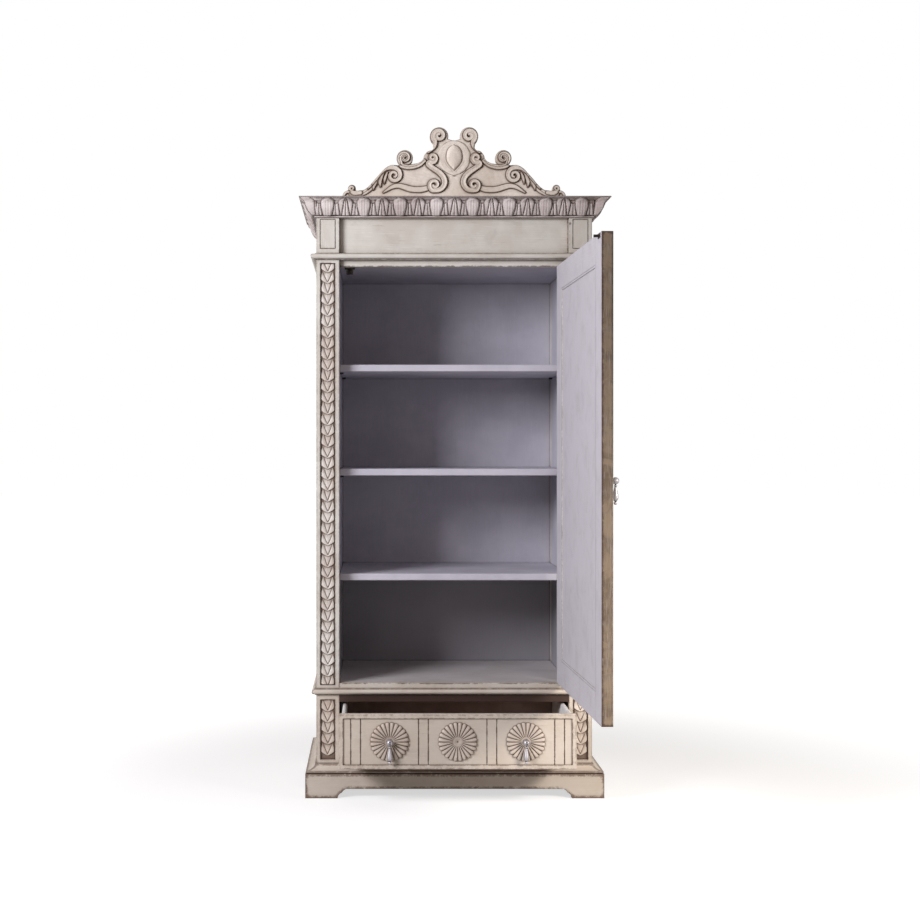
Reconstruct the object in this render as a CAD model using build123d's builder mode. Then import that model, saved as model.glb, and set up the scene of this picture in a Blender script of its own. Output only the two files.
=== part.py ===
from build123d import *
from math import cos, radians, sin
import os

# Painted cupboard with one door, three shelves, one drawer and a carved scrolled crest.
# Millimetres, +Z up, front towards -Y. The origin is on the floor, under the middle of the whole
# object as it stands with its door open and its drawer drawn out.

# ---------------------------------------------------------------- driving dimensions

# Case
case_width = 883.0
case_depth = 500.0
post_width = 73.5
post_depth = 45.0
lining_thickness = 15.0
side_panel_thickness = 26.0
back_thickness = 15.0
rail_thickness = 22.0
floor_thickness = 18.0
top_thickness = 19.0

# Heights, from the floor upwards
plinth_height = 77.0
lower_rail_height = 49.0
drawer_opening_height = 174.5
middle_rail_height = 60.5
door_opening_height = 1336.0
head_rail_height = 40.0
frieze_height = 114.0
cornice_height = 61.0

# Plinth with bracket feet
plinth_projection = 34.0
plinth_thickness = 22.0
foot_width = 103.0
foot_cutout_height = 29.6
foot_slope = 27.0
foot_toe_share = (0.12, 0.33)
foot_waist_share = (0.5, 0.6)
foot_shoulder_share = (0.8, 0.9)
foot_block_gap = 4.0
foot_block_side = 56.0

# Mouldings
base_moulding_height = 27.5
base_lip_height = 8.0
base_lip_reveal = 2.0
base_quirk_height = 3.0
base_quirk_depth = 4.0
base_fillet = 4.0
base_hollow_sag = 4.5
waist_moulding_height = 19.5
waist_moulding_projection = 14.5
waist_reveal = 23.5
architrave_height = 20.0
architrave_projection = 18.0
cornice_projection = 53.5
cornice_bead = 7.0
cornice_bead_step = 1.0
cornice_body_foot = 11.0
cornice_body_head = 33.0
cornice_body_height = 34.0
cornice_body_sag = 4.0
cornice_hollow_sag = 4.0
cornice_lip_height = 5.5
cornice_lip_reveal = 3.0
moulding_quirk = 2.5
moulding_step = 5.0

# Frieze and carved fields
frieze_recess = 17.0
field_width = 48.0
field_depth = 7.0
field_margin = 11.0
groove_width = 2.0
groove_depth = 2.0
frieze_field_bottom_margin = 15.0
frieze_field_top_margin = 4.0
leaf_period = 35.3
leaf_backing = 2.0
leaf_relief = 3.5
leaf_overlap = 1.0
leaf_lower_share = 0.45
leaf_fork_share = 0.5
leaf_upper_share = 0.86
side_field_border = 45.0
side_field_depth = 8.0

# Crest: the volutes of its right half, each as the centre's x, the centre's height and the radius
tail_curl = (328.0, 32.0, 12.0)
face_volute = (193.0, 74.0, 31.0)
outer_scroll = (158.0, 131.0, 26.0)
side_curl = (73.0, 129.0, 25.0)
lower_curl = (64.0, 46.0, 16.0)
top_scroll = (48.0, 200.5, 29.5)
crest_thickness = 22.0
relief_root = 2.0
ribbon_relief = 7.0
ribbon_width = 17.0
leaf_rib_width = 11.0
eye_relief = 10.0
eye_share = 0.3
saddle_sag = 1.5
volute_rim_share = 0.95
volute_hollow_share = 0.68
cabochon_centre_height = 130.0
cabochon_width = 46.0
cabochon_height = 82.0
cabochon_rim = 7.0
cabochon_relief = 9.0
cabochon_slope = 8.0

# Shelves
shelf_thickness = 22.0
shelf_setback = 45.0
shelf_edge_radius = 3.0
shelf_tops = (707.5, 1046.6, 1383.5)
shelf_pin_diameter = 6.0
shelf_pin_reach = 12.0
shelf_pin_depth = 10.0
shelf_pin_inset = 60.0
pin_clearance = 0.05

# Door
door_gap = 3.0
door_thickness = 33.0
door_stile_width = 88.0
door_rail_height = 80.0
door_edge_radius = 6.0
door_open_angle = 92.0
panel_tongue = 10.0
panel_tongue_depth = 10.0
panel_thickness = 19.0
panel_inner_recess = 3.0
panel_bevel = 42.0
panel_bevel_depth = 5.0
bead_width = 6.0
bead_height = 2.4

# Hinges
hinge_standoff = 6.0
hinge_count = 3
hinge_inset = 150.0
hinge_height = 76.0
hinge_leaf_thickness = 1.3
hinge_leaf_depth = 34.0
hinge_barrel_radius = 5.0
hinge_pin_radius = 2.0
hinge_knuckles = 3

# Catch under the cupboard ceiling and its strike on the door
catch_plate_width = 32.0
catch_plate_thickness = 4.0
catch_body_width = 22.0
catch_height = 20.0
catch_length = 26.0
catch_slot_width = 12.0
catch_roller_radius = 3.0
catch_edge_distance = 30.0
catch_setback = 2.0
catch_roller_margin = 2.0
strike_width = 28.0
strike_height = 12.0
strike_plate = 2.0
strike_tongue_width = 6.0
strike_tongue_height = 7.0
strike_tongue_length = 14.0

# Drawer
drawer_pull_out = 193.0
drawer_gap_side = 3.0
drawer_gap_bottom = 1.5
drawer_gap_top = 4.5
drawer_front_thickness = 22.0
drawer_side_thickness = 12.0
drawer_length = 430.0
drawer_side_inset = 9.0
drawer_side_drop = 2.0
drawer_bottom_thickness = 6.0
drawer_bottom_height = 13.0
drawer_groove_depth = 6.0
drawer_border = 13.0
drawer_field_depth = 4.0
drawer_face_rounding = 2.0
drawer_side_rounding_share = 0.4
drawer_groove_positions = (90.0, 120.0, 298.0, 328.0)
runner_width = 26.0
runner_height = 24.0
runner_guide_width = 10.0
runner_guide_height = 20.0

# Rosettes
rosette_spacing = 209.0
rosette_diameter = 120.0
rosette_petals = 24
rosette_rim_height = 3.5
rosette_crown_height = 8.0
rosette_crown_radius = 44.0
rosette_centre_radius = 22.0
rosette_centre_height = 4.5
petal_groove_width = 2.2
petal_notch_side = 5.0

# Drop pulls
pull_height_on_door = 1023.0
pull_edge_distance = 50.0
pull_plate_radius = 9.0
pull_plate_thickness = 2.0
pull_neck_radius = 4.0
pull_ball_radius = 10.0
pull_ball_standoff = 15.0
pull_slot_width = 6.0
pull_eye_width = 5.2
pull_pin_radius = 1.25
pull_eye_radius = 4.2
pull_eye_clearance = 0.07
drop_length = 66.0
drop_neck_radius = 2.2
drop_body_radius = 8.0
drop_waist_radius = 2.8
drop_finial_radius = 4.4
drop_belly_height = 9.0
drop_taper_share = 0.66
drop_base_share = 0.8
drop_base_height = 3.0

# Clearances
seat_clearance = 0.3
cut_margin = 1.0

# ---------------------------------------------------------------- derived values

SIDES = (("left", -1), ("right", 1))
half_width = case_width / 2
opening_half = half_width - post_width
lining_outer = opening_half + lining_thickness

drawer_opening_bottom = plinth_height + lower_rail_height
drawer_opening_top = drawer_opening_bottom + drawer_opening_height
floor_top = drawer_opening_top + middle_rail_height
door_opening_top = floor_top + door_opening_height
frieze_bottom = door_opening_top + head_rail_height
frieze_top = frieze_bottom + frieze_height
case_top = frieze_top + cornice_height
carcass_top = case_top - top_thickness
waist_bottom = drawer_opening_top + waist_reveal
waist_top = waist_bottom + waist_moulding_height
base_moulding_top = plinth_height + base_moulding_height
architrave_bottom = frieze_bottom - architrave_height

# The door turns about a pin in front of the case, midway in the gap beside the post.
door_width = 2 * opening_half - 2 * door_gap
door_bottom = floor_top + door_gap
door_top = door_opening_top - door_gap
hinge_offset = door_gap / 2
hinge_x = opening_half - hinge_offset
door_outer = hinge_standoff
door_inner = hinge_standoff + door_thickness
door_free_edge = hinge_offset + door_width
door_reach = (
    hinge_standoff
    + door_free_edge * sin(radians(door_open_angle))
    - door_inner * cos(radians(door_open_angle))
)

# The front of the case lies where the whole object, door open, is centred on the origin.
front_y = (door_reach - case_depth) / 2
back_y = front_y + case_depth
back_panel_y = back_y - back_thickness
lining_back_y = back_y - post_depth
hinge_y = front_y - hinge_standoff
drawer_y = front_y - drawer_pull_out

front_plane = Plane(origin=(0, front_y, 0), x_dir=(1, 0, 0), z_dir=(0, -1, 0))
back_plane = Plane(origin=(0, back_y, 0), x_dir=(-1, 0, 0), z_dir=(0, 1, 0))
crest_plane = Plane(origin=(0, front_y, case_top), x_dir=(1, 0, 0), z_dir=(0, -1, 0))
drawer_plane = Plane(origin=(0, drawer_y, 0), x_dir=(1, 0, 0), z_dir=(0, -1, 0))

# Local x runs along the door from its pin, local y is up and local z points into the case.
open_direction = radians(180 + door_open_angle)
door_plane = Plane(
    origin=(hinge_x, hinge_y, 0),
    x_dir=(cos(open_direction), sin(open_direction), 0),
    z_dir=(sin(open_direction), -cos(open_direction), 0),
)


# ---------------------------------------------------------------- shared forms


def save(piece, label):
    """Name a finished piece and write its STEP file."""
    piece.part.label = label
    export_step(piece.part, f"parts/{label}.step")


def board(x_span, y_span, z_span):
    """A squared board between two opposite corners."""
    size = [span[1] - span[0] for span in (x_span, y_span, z_span)]
    with BuildPart() as piece:
        with Locations((x_span[0], y_span[0], z_span[0])):
            Box(*size, align=(Align.MIN, Align.MIN, Align.MIN))
    return piece


def handed(sign, inner, outer):
    """The x span of a piece on one side of the case, from its distances to the centre line."""
    return (inner, outer) if sign > 0 else (-outer, -inner)


def door_block(u_span, z_span, v_span):
    """A squared piece of the door, from its spans along the door, up it and through it."""
    with BuildPart() as piece:
        with BuildSketch(door_plane.offset(v_span[0])):
            with Locations(((u_span[0] + u_span[1]) / 2, (z_span[0] + z_span[1]) / 2)):
                Rectangle(u_span[1] - u_span[0], z_span[1] - z_span[0])
        extrude(amount=v_span[1] - v_span[0])
    return piece.part


def torus_profile(height, projection):
    """A half-round nose between two small quirks, standing on the case."""
    nose_radius = height / 2 - moulding_quirk
    nose_start = projection - nose_radius
    with BuildSketch() as profile:
        with BuildLine():
            Polyline((nose_start, moulding_quirk), (moulding_step, moulding_quirk), (moulding_step, 0),
                     (0, 0), (0, height), (moulding_step, height),
                     (moulding_step, height - moulding_quirk), (nose_start, height - moulding_quirk))
            ThreePointArc((nose_start, moulding_quirk), (projection, height / 2),
                          (nose_start, height - moulding_quirk))
        make_face()
    return profile.sketch


def base_profile():
    """A hollow that falls from the case to the plinth, over a shadow quirk."""
    lip = plinth_projection - base_lip_reveal
    quirk = lip - base_quirk_depth
    fillet_bottom = base_moulding_height - base_fillet
    with BuildSketch() as profile:
        with BuildLine():
            Polyline((lip, base_lip_height), (lip, base_quirk_height), (quirk, base_quirk_height),
                     (quirk, 0), (0, 0), (0, base_moulding_height),
                     (base_fillet, base_moulding_height), (base_fillet, fillet_bottom))
            SagittaArc((lip, base_lip_height), (base_fillet, fillet_bottom), base_hollow_sag)
        make_face()
    return profile.sketch


def cornice_profile():
    """A bead, a swelling body, a hollow and a square lip."""
    body_start = (cornice_body_foot, cornice_bead + cornice_bead_step)
    body_end = (cornice_body_head, body_start[1] + cornice_body_height)
    lip_bottom = cornice_height - cornice_lip_height
    lip_back = (cornice_projection - cornice_lip_reveal, lip_bottom)
    with BuildSketch() as profile:
        with BuildLine():
            Polyline(lip_back, (cornice_projection, lip_bottom), (cornice_projection, cornice_height),
                     (0, cornice_height), (0, 0), (moulding_step, 0))
            ThreePointArc((moulding_step, 0), (moulding_step + cornice_bead / 2, cornice_bead / 2),
                          (moulding_step, cornice_bead))
            Polyline((moulding_step, cornice_bead), (moulding_step, body_start[1]), body_start)
            SagittaArc(body_start, body_end, -cornice_body_sag)
            SagittaArc(body_end, lip_back, cornice_hollow_sag)
        make_face()
    return profile.sketch


def moulding_set(name, profile, reach, z_bottom, height):
    """The front and both side lengths of one moulding, mitred at the front corners."""
    end = half_width + reach
    with BuildPart() as front:
        with BuildSketch(Plane(origin=(end, front_y, z_bottom), x_dir=(0, -1, 0), z_dir=(-1, 0, 0))):
            add(profile)
        extrude(amount=2 * end)
        with BuildSketch(Plane.XY.offset(z_bottom)):
            Polygon((-half_width, front_y), (half_width, front_y), (end, front_y - reach),
                    (-end, front_y - reach), align=None)
        extrude(amount=height, mode=Mode.INTERSECT)
    save(front, f"{name}_front")
    for side, sign in SIDES:
        run_plane = Plane(
            origin=(sign * half_width, front_y - reach, z_bottom),
            x_dir=(sign, 0, 0),
            z_dir=(0, -sign, 0),
        )
        with BuildPart() as return_run:
            with BuildSketch(run_plane):
                add(profile)
            extrude(amount=-sign * (case_depth + reach))
            with BuildSketch(Plane.XY.offset(z_bottom)):
                Polygon((sign * half_width, front_y), (sign * end, front_y - reach),
                        (sign * end, back_y), (sign * half_width, back_y), align=None)
            extrude(amount=height, mode=Mode.INTERSECT)
        save(return_run, f"{name}_{side}")


def bracket_outline(length):
    """A plinth face with a bracket foot at each end and an ogee-ended gap between them."""
    gap_half = length / 2 - foot_width
    crown_half = gap_half - foot_slope

    def on_ogee(sign, share):
        """A point of the ogee, from its shares of the slope's width and height."""
        return (sign * (gap_half - share[0] * foot_slope), share[1] * foot_cutout_height)

    with BuildSketch() as profile:
        with BuildLine():
            Polyline((gap_half, 0), (length / 2, 0), (length / 2, plinth_height),
                     (-length / 2, plinth_height), (-length / 2, 0), (-gap_half, 0))
            Line((-crown_half, foot_cutout_height), (crown_half, foot_cutout_height))
            for sign in (-1, 1):
                ThreePointArc((sign * gap_half, 0), on_ogee(sign, foot_toe_share),
                              on_ogee(sign, foot_waist_share))
                ThreePointArc(on_ogee(sign, foot_waist_share), on_ogee(sign, foot_shoulder_share),
                              (sign * crown_half, foot_cutout_height))
        make_face()
    return profile.sketch


os.makedirs("parts", exist_ok=True)

# ---------------------------------------------------------------- plinth

plinth_half = half_width + plinth_projection
plinth_front_back_y = front_y - plinth_projection + plinth_thickness
plinth_side_length = back_y - plinth_front_back_y

with BuildPart() as plinth_front:
    with BuildSketch(front_plane.offset(plinth_projection)):
        add(bracket_outline(2 * plinth_half))
    extrude(amount=-plinth_thickness)
save(plinth_front, "plinth_front")

for side, sign in SIDES:
    side_face = Plane(
        origin=(sign * plinth_half, (plinth_front_back_y + back_y) / 2, 0),
        x_dir=(0, sign, 0),
        z_dir=(sign, 0, 0),
    )
    with BuildPart() as plinth_side:
        with BuildSketch(side_face):
            add(bracket_outline(plinth_side_length))
        extrude(amount=-plinth_thickness)
    save(plinth_side, f"plinth_side_{side}")

with BuildPart() as plinth_back:
    with BuildSketch(back_plane):
        add(bracket_outline(2 * (plinth_half - plinth_thickness)))
    extrude(amount=-plinth_thickness)
save(plinth_back, "plinth_back")

# One corner block stands behind each foot and carries a post.
block_centre_x = plinth_half - plinth_thickness - foot_block_side / 2
block_front_y = plinth_front_back_y + foot_block_side / 2
block_back_y = back_y - plinth_thickness - foot_block_side / 2
block_height = plinth_height - foot_block_gap
with BuildPart() as plinth_blocks:
    for block_y in (block_front_y, block_back_y):
        for block_x in (-block_centre_x, block_centre_x):
            with Locations((block_x, block_y, foot_block_gap)):
                Box(foot_block_side, foot_block_side, block_height,
                    align=(Align.CENTER, Align.CENTER, Align.MIN))
save(plinth_blocks, "plinth_blocks")

# ---------------------------------------------------------------- mouldings

moulding_set("base_moulding", base_profile(), plinth_projection, plinth_height, base_moulding_height)
moulding_set("waist_moulding", torus_profile(waist_moulding_height, waist_moulding_projection),
             waist_moulding_projection, waist_bottom, waist_moulding_height)
moulding_set("architrave", torus_profile(architrave_height, architrave_projection),
             architrave_projection, architrave_bottom, architrave_height)
moulding_set("cornice", cornice_profile(), cornice_projection, frieze_top, cornice_height)

# ---------------------------------------------------------------- posts and their carved fields

post_centre = half_width - post_width / 2
lower_field = (base_moulding_top + field_margin, waist_bottom - field_margin - moulding_step)
upper_field = (waist_top + field_margin, architrave_bottom - field_margin)
frieze_field = (frieze_bottom + frieze_field_bottom_margin, frieze_top - frieze_field_top_margin)


def on_post(sign, z_span):
    """The place on the case front at the middle of one field of a post."""
    return Locations((sign * post_centre, (z_span[0] + z_span[1]) / 2))


for side, sign in SIDES:
    with BuildPart() as front_post:
        with BuildSketch(front_plane):
            with on_post(sign, (plinth_height, carcass_top)):
                Rectangle(post_width, carcass_top - plinth_height)
        extrude(amount=-post_depth)
        with BuildSketch(front_plane):
            for z_span in (lower_field, upper_field):
                with on_post(sign, z_span):
                    Rectangle(field_width, z_span[1] - z_span[0])
        extrude(amount=-field_depth, mode=Mode.SUBTRACT)
        with BuildSketch(front_plane):
            with on_post(sign, frieze_field):
                Rectangle(field_width + groove_width, frieze_field[1] - frieze_field[0])
                Rectangle(field_width - groove_width, frieze_field[1] - frieze_field[0] - 2 * groove_width,
                          mode=Mode.SUBTRACT)
        extrude(amount=-groove_depth, mode=Mode.SUBTRACT)
    save(front_post, f"front_post_{side}")

# Leaf pairs point down and overlap along a thin backing strip let into each field.
leaf_half = field_width / 2 - 2 * seat_clearance
leaf_side_low = leaf_lower_share * leaf_period
leaf_side_high = leaf_upper_share * leaf_period
leaf_fork = leaf_fork_share * leaf_period
strip_plane = front_plane.offset(-field_depth)
with BuildPart() as leaf_carvings:
    for side, sign in SIDES:
        for z_span in (lower_field, upper_field):
            strip_length = z_span[1] - z_span[0] - 2 * seat_clearance
            leaf_count = int(strip_length // leaf_period)
            first_tip = (z_span[0] + z_span[1] - leaf_count * leaf_period) / 2
            with BuildSketch(strip_plane):
                with on_post(sign, z_span):
                    Rectangle(2 * leaf_half, strip_length)
            extrude(amount=leaf_backing)
            with BuildSketch(strip_plane.offset(leaf_backing)):
                for row in range(leaf_count):
                    with Locations((sign * post_centre, first_tip + row * leaf_period)):
                        Polygon((0, leaf_overlap), (leaf_half, leaf_side_low), (leaf_half, leaf_side_high),
                                (0, leaf_fork), (-leaf_half, leaf_side_high),
                                (-leaf_half, leaf_side_low), align=None)
            extrude(amount=leaf_relief)
save(leaf_carvings, "leaf_carvings")

# ---------------------------------------------------------------- sides and back

for side, sign in SIDES:
    x_span = handed(sign, opening_half, half_width)
    back_post = board(x_span, (lining_back_y, back_y), (plinth_height, carcass_top))
    save(back_post, f"back_post_{side}")

    panel_y = (front_y + post_depth, lining_back_y)
    panel_depth = panel_y[1] - panel_y[0]
    outer_face = Plane(
        origin=(sign * half_width, (panel_y[0] + panel_y[1]) / 2, 0),
        x_dir=(0, sign, 0),
        z_dir=(sign, 0, 0),
    )
    with BuildPart() as side_panel:
        with BuildSketch(outer_face):
            with Locations((0, (plinth_height + carcass_top) / 2)):
                Rectangle(panel_depth, carcass_top - plinth_height)
        extrude(amount=-side_panel_thickness)
        with BuildSketch(outer_face):
            for low, high in ((base_moulding_top, waist_bottom), (waist_top, architrave_bottom)):
                with Locations((0, (low + high) / 2)):
                    Rectangle(panel_depth, high - low - 2 * side_field_border)
        extrude(amount=-side_field_depth, mode=Mode.SUBTRACT)
    save(side_panel, f"side_panel_{side}")

    pin_y = (front_y + shelf_setback + shelf_pin_inset, back_panel_y - shelf_pin_inset)
    with BuildPart() as side_lining:
        lining = board(handed(sign, opening_half, lining_outer), panel_y, (plinth_height, carcass_top))
        add(lining.part)
        for shelf_top in shelf_tops:
            pin_z = shelf_top - shelf_thickness - seat_clearance - shelf_pin_diameter / 2
            with Locations(*[(sign * opening_half, y, pin_z) for y in pin_y]):
                Cylinder(shelf_pin_diameter / 2 + pin_clearance, 2 * shelf_pin_depth,
                         rotation=(0, 90, 0), mode=Mode.SUBTRACT)
    save(side_lining, f"side_lining_{side}")

back_panel = board((-opening_half, opening_half), (back_panel_y, back_y), (plinth_height, carcass_top))
save(back_panel, "back_panel")

# ---------------------------------------------------------------- rails, floor, ceiling and top

opening_span = (-opening_half, opening_half)
rail_y = (front_y, front_y + rail_thickness)
lower_rail = board(opening_span, rail_y, (plinth_height, drawer_opening_bottom))
save(lower_rail, "lower_rail")
middle_rail = board(opening_span, rail_y, (drawer_opening_top, floor_top))
save(middle_rail, "middle_rail")

cupboard_floor = board(opening_span, (rail_y[1], back_panel_y), (floor_top - floor_thickness, floor_top))
save(cupboard_floor, "cupboard_floor")

# The head rail and the frieze lie back from the posts, each under a full-depth upper edge.
recessed_back_y = front_y + frieze_recess + rail_thickness
with BuildPart() as head_rail:
    add(board(opening_span, (front_y, recessed_back_y), (door_opening_top, frieze_bottom)).part)
    add(board(opening_span, (front_y, front_y + frieze_recess), (door_opening_top, architrave_bottom)).part,
        mode=Mode.SUBTRACT)
save(head_rail, "head_rail")
with BuildPart() as frieze_board:
    add(board(opening_span, (front_y, recessed_back_y), (frieze_bottom, carcass_top)).part)
    add(board(opening_span, (front_y, front_y + frieze_recess), (frieze_bottom, frieze_top)).part,
        mode=Mode.SUBTRACT)
save(frieze_board, "frieze_board")

cupboard_ceiling = board(opening_span, (recessed_back_y, back_panel_y),
                         (door_opening_top, door_opening_top + floor_thickness))
save(cupboard_ceiling, "cupboard_ceiling")
top_board = board((-half_width, half_width), (front_y, back_y), (carcass_top, case_top))
save(top_board, "top_board")

# ---------------------------------------------------------------- shelves

for name, shelf_top in zip(("lower", "middle", "upper"), shelf_tops):
    with BuildPart() as shelf:
        add(board((-opening_half + seat_clearance, opening_half - seat_clearance),
                  (front_y + shelf_setback, back_panel_y - seat_clearance),
                  (shelf_top - shelf_thickness, shelf_top)).part)
        front_edges = shelf.edges().filter_by(Axis.X).group_by(Axis.Y)[0]
        fillet(front_edges, radius=shelf_edge_radius)
    save(shelf, f"shelf_{name}")

with BuildPart() as shelf_pins:
    for side, sign in SIDES:
        for shelf_top in shelf_tops:
            pin_z = shelf_top - shelf_thickness - seat_clearance - shelf_pin_diameter / 2
            pin_x = sign * (opening_half + (shelf_pin_depth - shelf_pin_reach) / 2)
            with Locations(*[(pin_x, y, pin_z) for y in pin_y]):
                Cylinder(shelf_pin_diameter / 2, shelf_pin_reach + shelf_pin_depth, rotation=(0, 90, 0))
save(shelf_pins, "shelf_pins")

# ---------------------------------------------------------------- crest

# The carving is rooted a little way inside the board.
relief_plane = crest_plane.offset(-relief_root)
volutes = (tail_curl, face_volute, outer_scroll, side_curl, lower_curl, top_scroll)
cartouche_centre = (0, cabochon_centre_height)


def around(volute, right, up):
    """A point beside a volute, its two distances from the centre given in radii."""
    return (volute[0] + right * volute[2], volute[1] + up * volute[2])


def discs(share, mode=Mode.ADD):
    """A disc on every volute, a share of its radius wide."""
    for x, z, radius in volutes:
        with Locations((x, z)):
            Circle(share * radius, mode=mode)


# The outline of the right half runs from the tail up to the saddle between the top scrolls.
crest_tip = around(tail_curl, 2.4, -1.5)
crest_tail = (around(tail_curl, 1.3, -0.4), around(tail_curl, -2.3, -0.4))
crest_slope = (around(tail_curl, -3.7, 0.2), around(outer_scroll, 2.7, -1.5))
crest_shoulder = (around(outer_scroll, 1.6, -0.9), around(outer_scroll, -0.9, -0.7))
crest_cheek = (around(side_curl, 1.0, -0.1), around(side_curl, -0.3, 0.9))
crest_neck = (around(top_scroll, 0.5, -1.1), around(top_scroll, 0.1, -0.6))
crest_brow = around(top_scroll, -0.95, -0.3)
crest_saddle = (0, top_scroll[1] - top_scroll[2] / 2)

# Ribbons that join the volutes, each as an arc and a width.
crest_ribbons = (
    (ThreePointArc(around(side_curl, 0.1, -0.8), around(side_curl, -1, -1.7),
                   around(lower_curl, -2.3, 0.8)), ribbon_width),
    (ThreePointArc(around(lower_curl, -2.3, 0.8), around(lower_curl, -1.7, -0.9),
                   around(lower_curl, -0.1, -1.2)), ribbon_width),
    (ThreePointArc(around(outer_scroll, 1, -0.7), around(outer_scroll, -0.7, -1.3),
                   around(side_curl, 1, -0.6)), ribbon_width),
    (ThreePointArc(around(face_volute, 0.4, -1.1), around(face_volute, -1.7, -1.4),
                   around(lower_curl, 1.5, -0.9)), ribbon_width),
    (ThreePointArc(around(tail_curl, -2.3, -1.3), around(face_volute, 1.8, -1.6),
                   around(face_volute, 0.6, -0.9)), ribbon_width),
    (ThreePointArc(around(face_volute, 2.5, -1.6), around(face_volute, 2.2, -1.1),
                   around(face_volute, 2.2, -0.7)), leaf_rib_width),
    (ThreePointArc(around(face_volute, 1.6, -1.1), around(face_volute, 1.5, -0.4),
                   around(face_volute, 1.5, 0.1)), leaf_rib_width),
    (ThreePointArc(around(tail_curl, 1, -1.7), around(tail_curl, -1.3, -1.5),
                   around(tail_curl, -3.2, -1.2)), leaf_rib_width),
)

with BuildPart() as cabochon:
    with BuildSketch(relief_plane):
        with Locations(cartouche_centre):
            Ellipse(cabochon_width / 2 - cut_margin, cabochon_height / 2 - cut_margin)
    with BuildSketch(crest_plane.offset(cabochon_relief)):
        with Locations(cartouche_centre):
            Ellipse(cabochon_width / 2 - cabochon_slope, cabochon_height / 2 - cabochon_slope)
    loft()

with BuildPart() as crest:
    with BuildSketch(crest_plane):
        with BuildLine():
            Polyline((0, 0), (crest_tip[0], 0), crest_tip, *crest_tail, *crest_slope, *crest_shoulder,
                     *crest_cheek, *crest_neck, crest_brow)
            SagittaArc(crest_brow, crest_saddle, -saddle_sag)
            Line(crest_saddle, (0, 0))
        make_face()
        discs(1)
        mirror(about=Plane.YZ)
    extrude(amount=-crest_thickness)
    with BuildSketch(relief_plane):
        for arc, width in crest_ribbons:
            SlotArc(arc, width)
        discs(volute_rim_share)
        discs(volute_hollow_share, mode=Mode.SUBTRACT)
        mirror(about=Plane.YZ)
        with Locations(cartouche_centre):
            Ellipse(cabochon_width / 2 + cabochon_rim, cabochon_height / 2 + cabochon_rim)
            Ellipse(cabochon_width / 2, cabochon_height / 2, mode=Mode.SUBTRACT)
    extrude(amount=relief_root + ribbon_relief)
    with BuildSketch(relief_plane):
        discs(eye_share)
        mirror(about=Plane.YZ)
    extrude(amount=relief_root + eye_relief)
    add(cabochon.part)
save(crest, "crest")

# ---------------------------------------------------------------- catch

strike_centre_u = door_free_edge - catch_edge_distance
catch_x = hinge_x - strike_centre_u
catch_y = recessed_back_y + catch_setback
catch_bottom = door_opening_top - catch_height
hung = (Align.CENTER, Align.MIN, Align.MAX)
with BuildPart() as catch:
    with Locations((catch_x, catch_y, door_opening_top)):
        Box(catch_plate_width, catch_length, catch_plate_thickness, align=hung)
        Box(catch_body_width, catch_length, catch_height, align=hung)
    with Locations((catch_x, catch_y, catch_bottom)):
        Box(catch_slot_width, 2 * (catch_length - catch_plate_thickness),
            2 * (catch_height - catch_plate_thickness), mode=Mode.SUBTRACT)
    roller_x = catch_slot_width / 2 + catch_roller_radius / 2
    roller_y = catch_y + catch_roller_radius + catch_roller_margin
    roller_height = catch_height - catch_plate_thickness - 2 * catch_roller_margin
    roller_middle = catch_bottom + catch_roller_margin + roller_height / 2
    for roller_sign in (-1, 1):
        with Locations((catch_x + roller_sign * roller_x, roller_y, roller_middle)):
            Cylinder(catch_roller_radius + seat_clearance, roller_height, mode=Mode.SUBTRACT)
            Cylinder(catch_roller_radius, roller_height - seat_clearance)
save(catch, "catch")

# ---------------------------------------------------------------- hinges

knuckle_pitch = hinge_height / hinge_knuckles
knuckle_clear = hinge_barrel_radius + 2 * seat_clearance
hinge_step = (door_top - door_bottom - 2 * hinge_inset - hinge_height) / (hinge_count - 1)
hinge_bottoms = [door_bottom + hinge_inset + i * hinge_step for i in range(hinge_count)]
leaf_inner = hinge_offset - hinge_leaf_thickness


def knuckle(z_bottom, index, radius, mode=Mode.ADD):
    """One knuckle of a barrel, short of its neighbours by a running gap."""
    with Locations((hinge_x, hinge_y, z_bottom + index * knuckle_pitch + seat_clearance / 2)):
        Cylinder(radius, knuckle_pitch - seat_clearance, align=(Align.CENTER, Align.CENTER, Align.MIN),
                 mode=mode)


with BuildPart() as frame_hinge_leaves:
    for z_bottom in hinge_bottoms:
        with Locations((hinge_x + leaf_inner, hinge_y, z_bottom)):
            Box(hinge_leaf_thickness, hinge_leaf_depth, hinge_height,
                align=(Align.MIN, Align.MIN, Align.MIN))
        for index in range(1, hinge_knuckles, 2):
            with Locations((hinge_x, hinge_y, z_bottom + index * knuckle_pitch)):
                Box(2 * door_gap, 2 * knuckle_clear, knuckle_pitch,
                    align=(Align.CENTER, Align.CENTER, Align.MIN), mode=Mode.SUBTRACT)
        for index in range(0, hinge_knuckles, 2):
            knuckle(z_bottom, index, hinge_barrel_radius)
        with Locations((hinge_x, hinge_y, z_bottom)):
            Cylinder(hinge_pin_radius, hinge_height, align=(Align.CENTER, Align.CENTER, Align.MIN))
save(frame_hinge_leaves, "frame_hinge_leaves")

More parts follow.
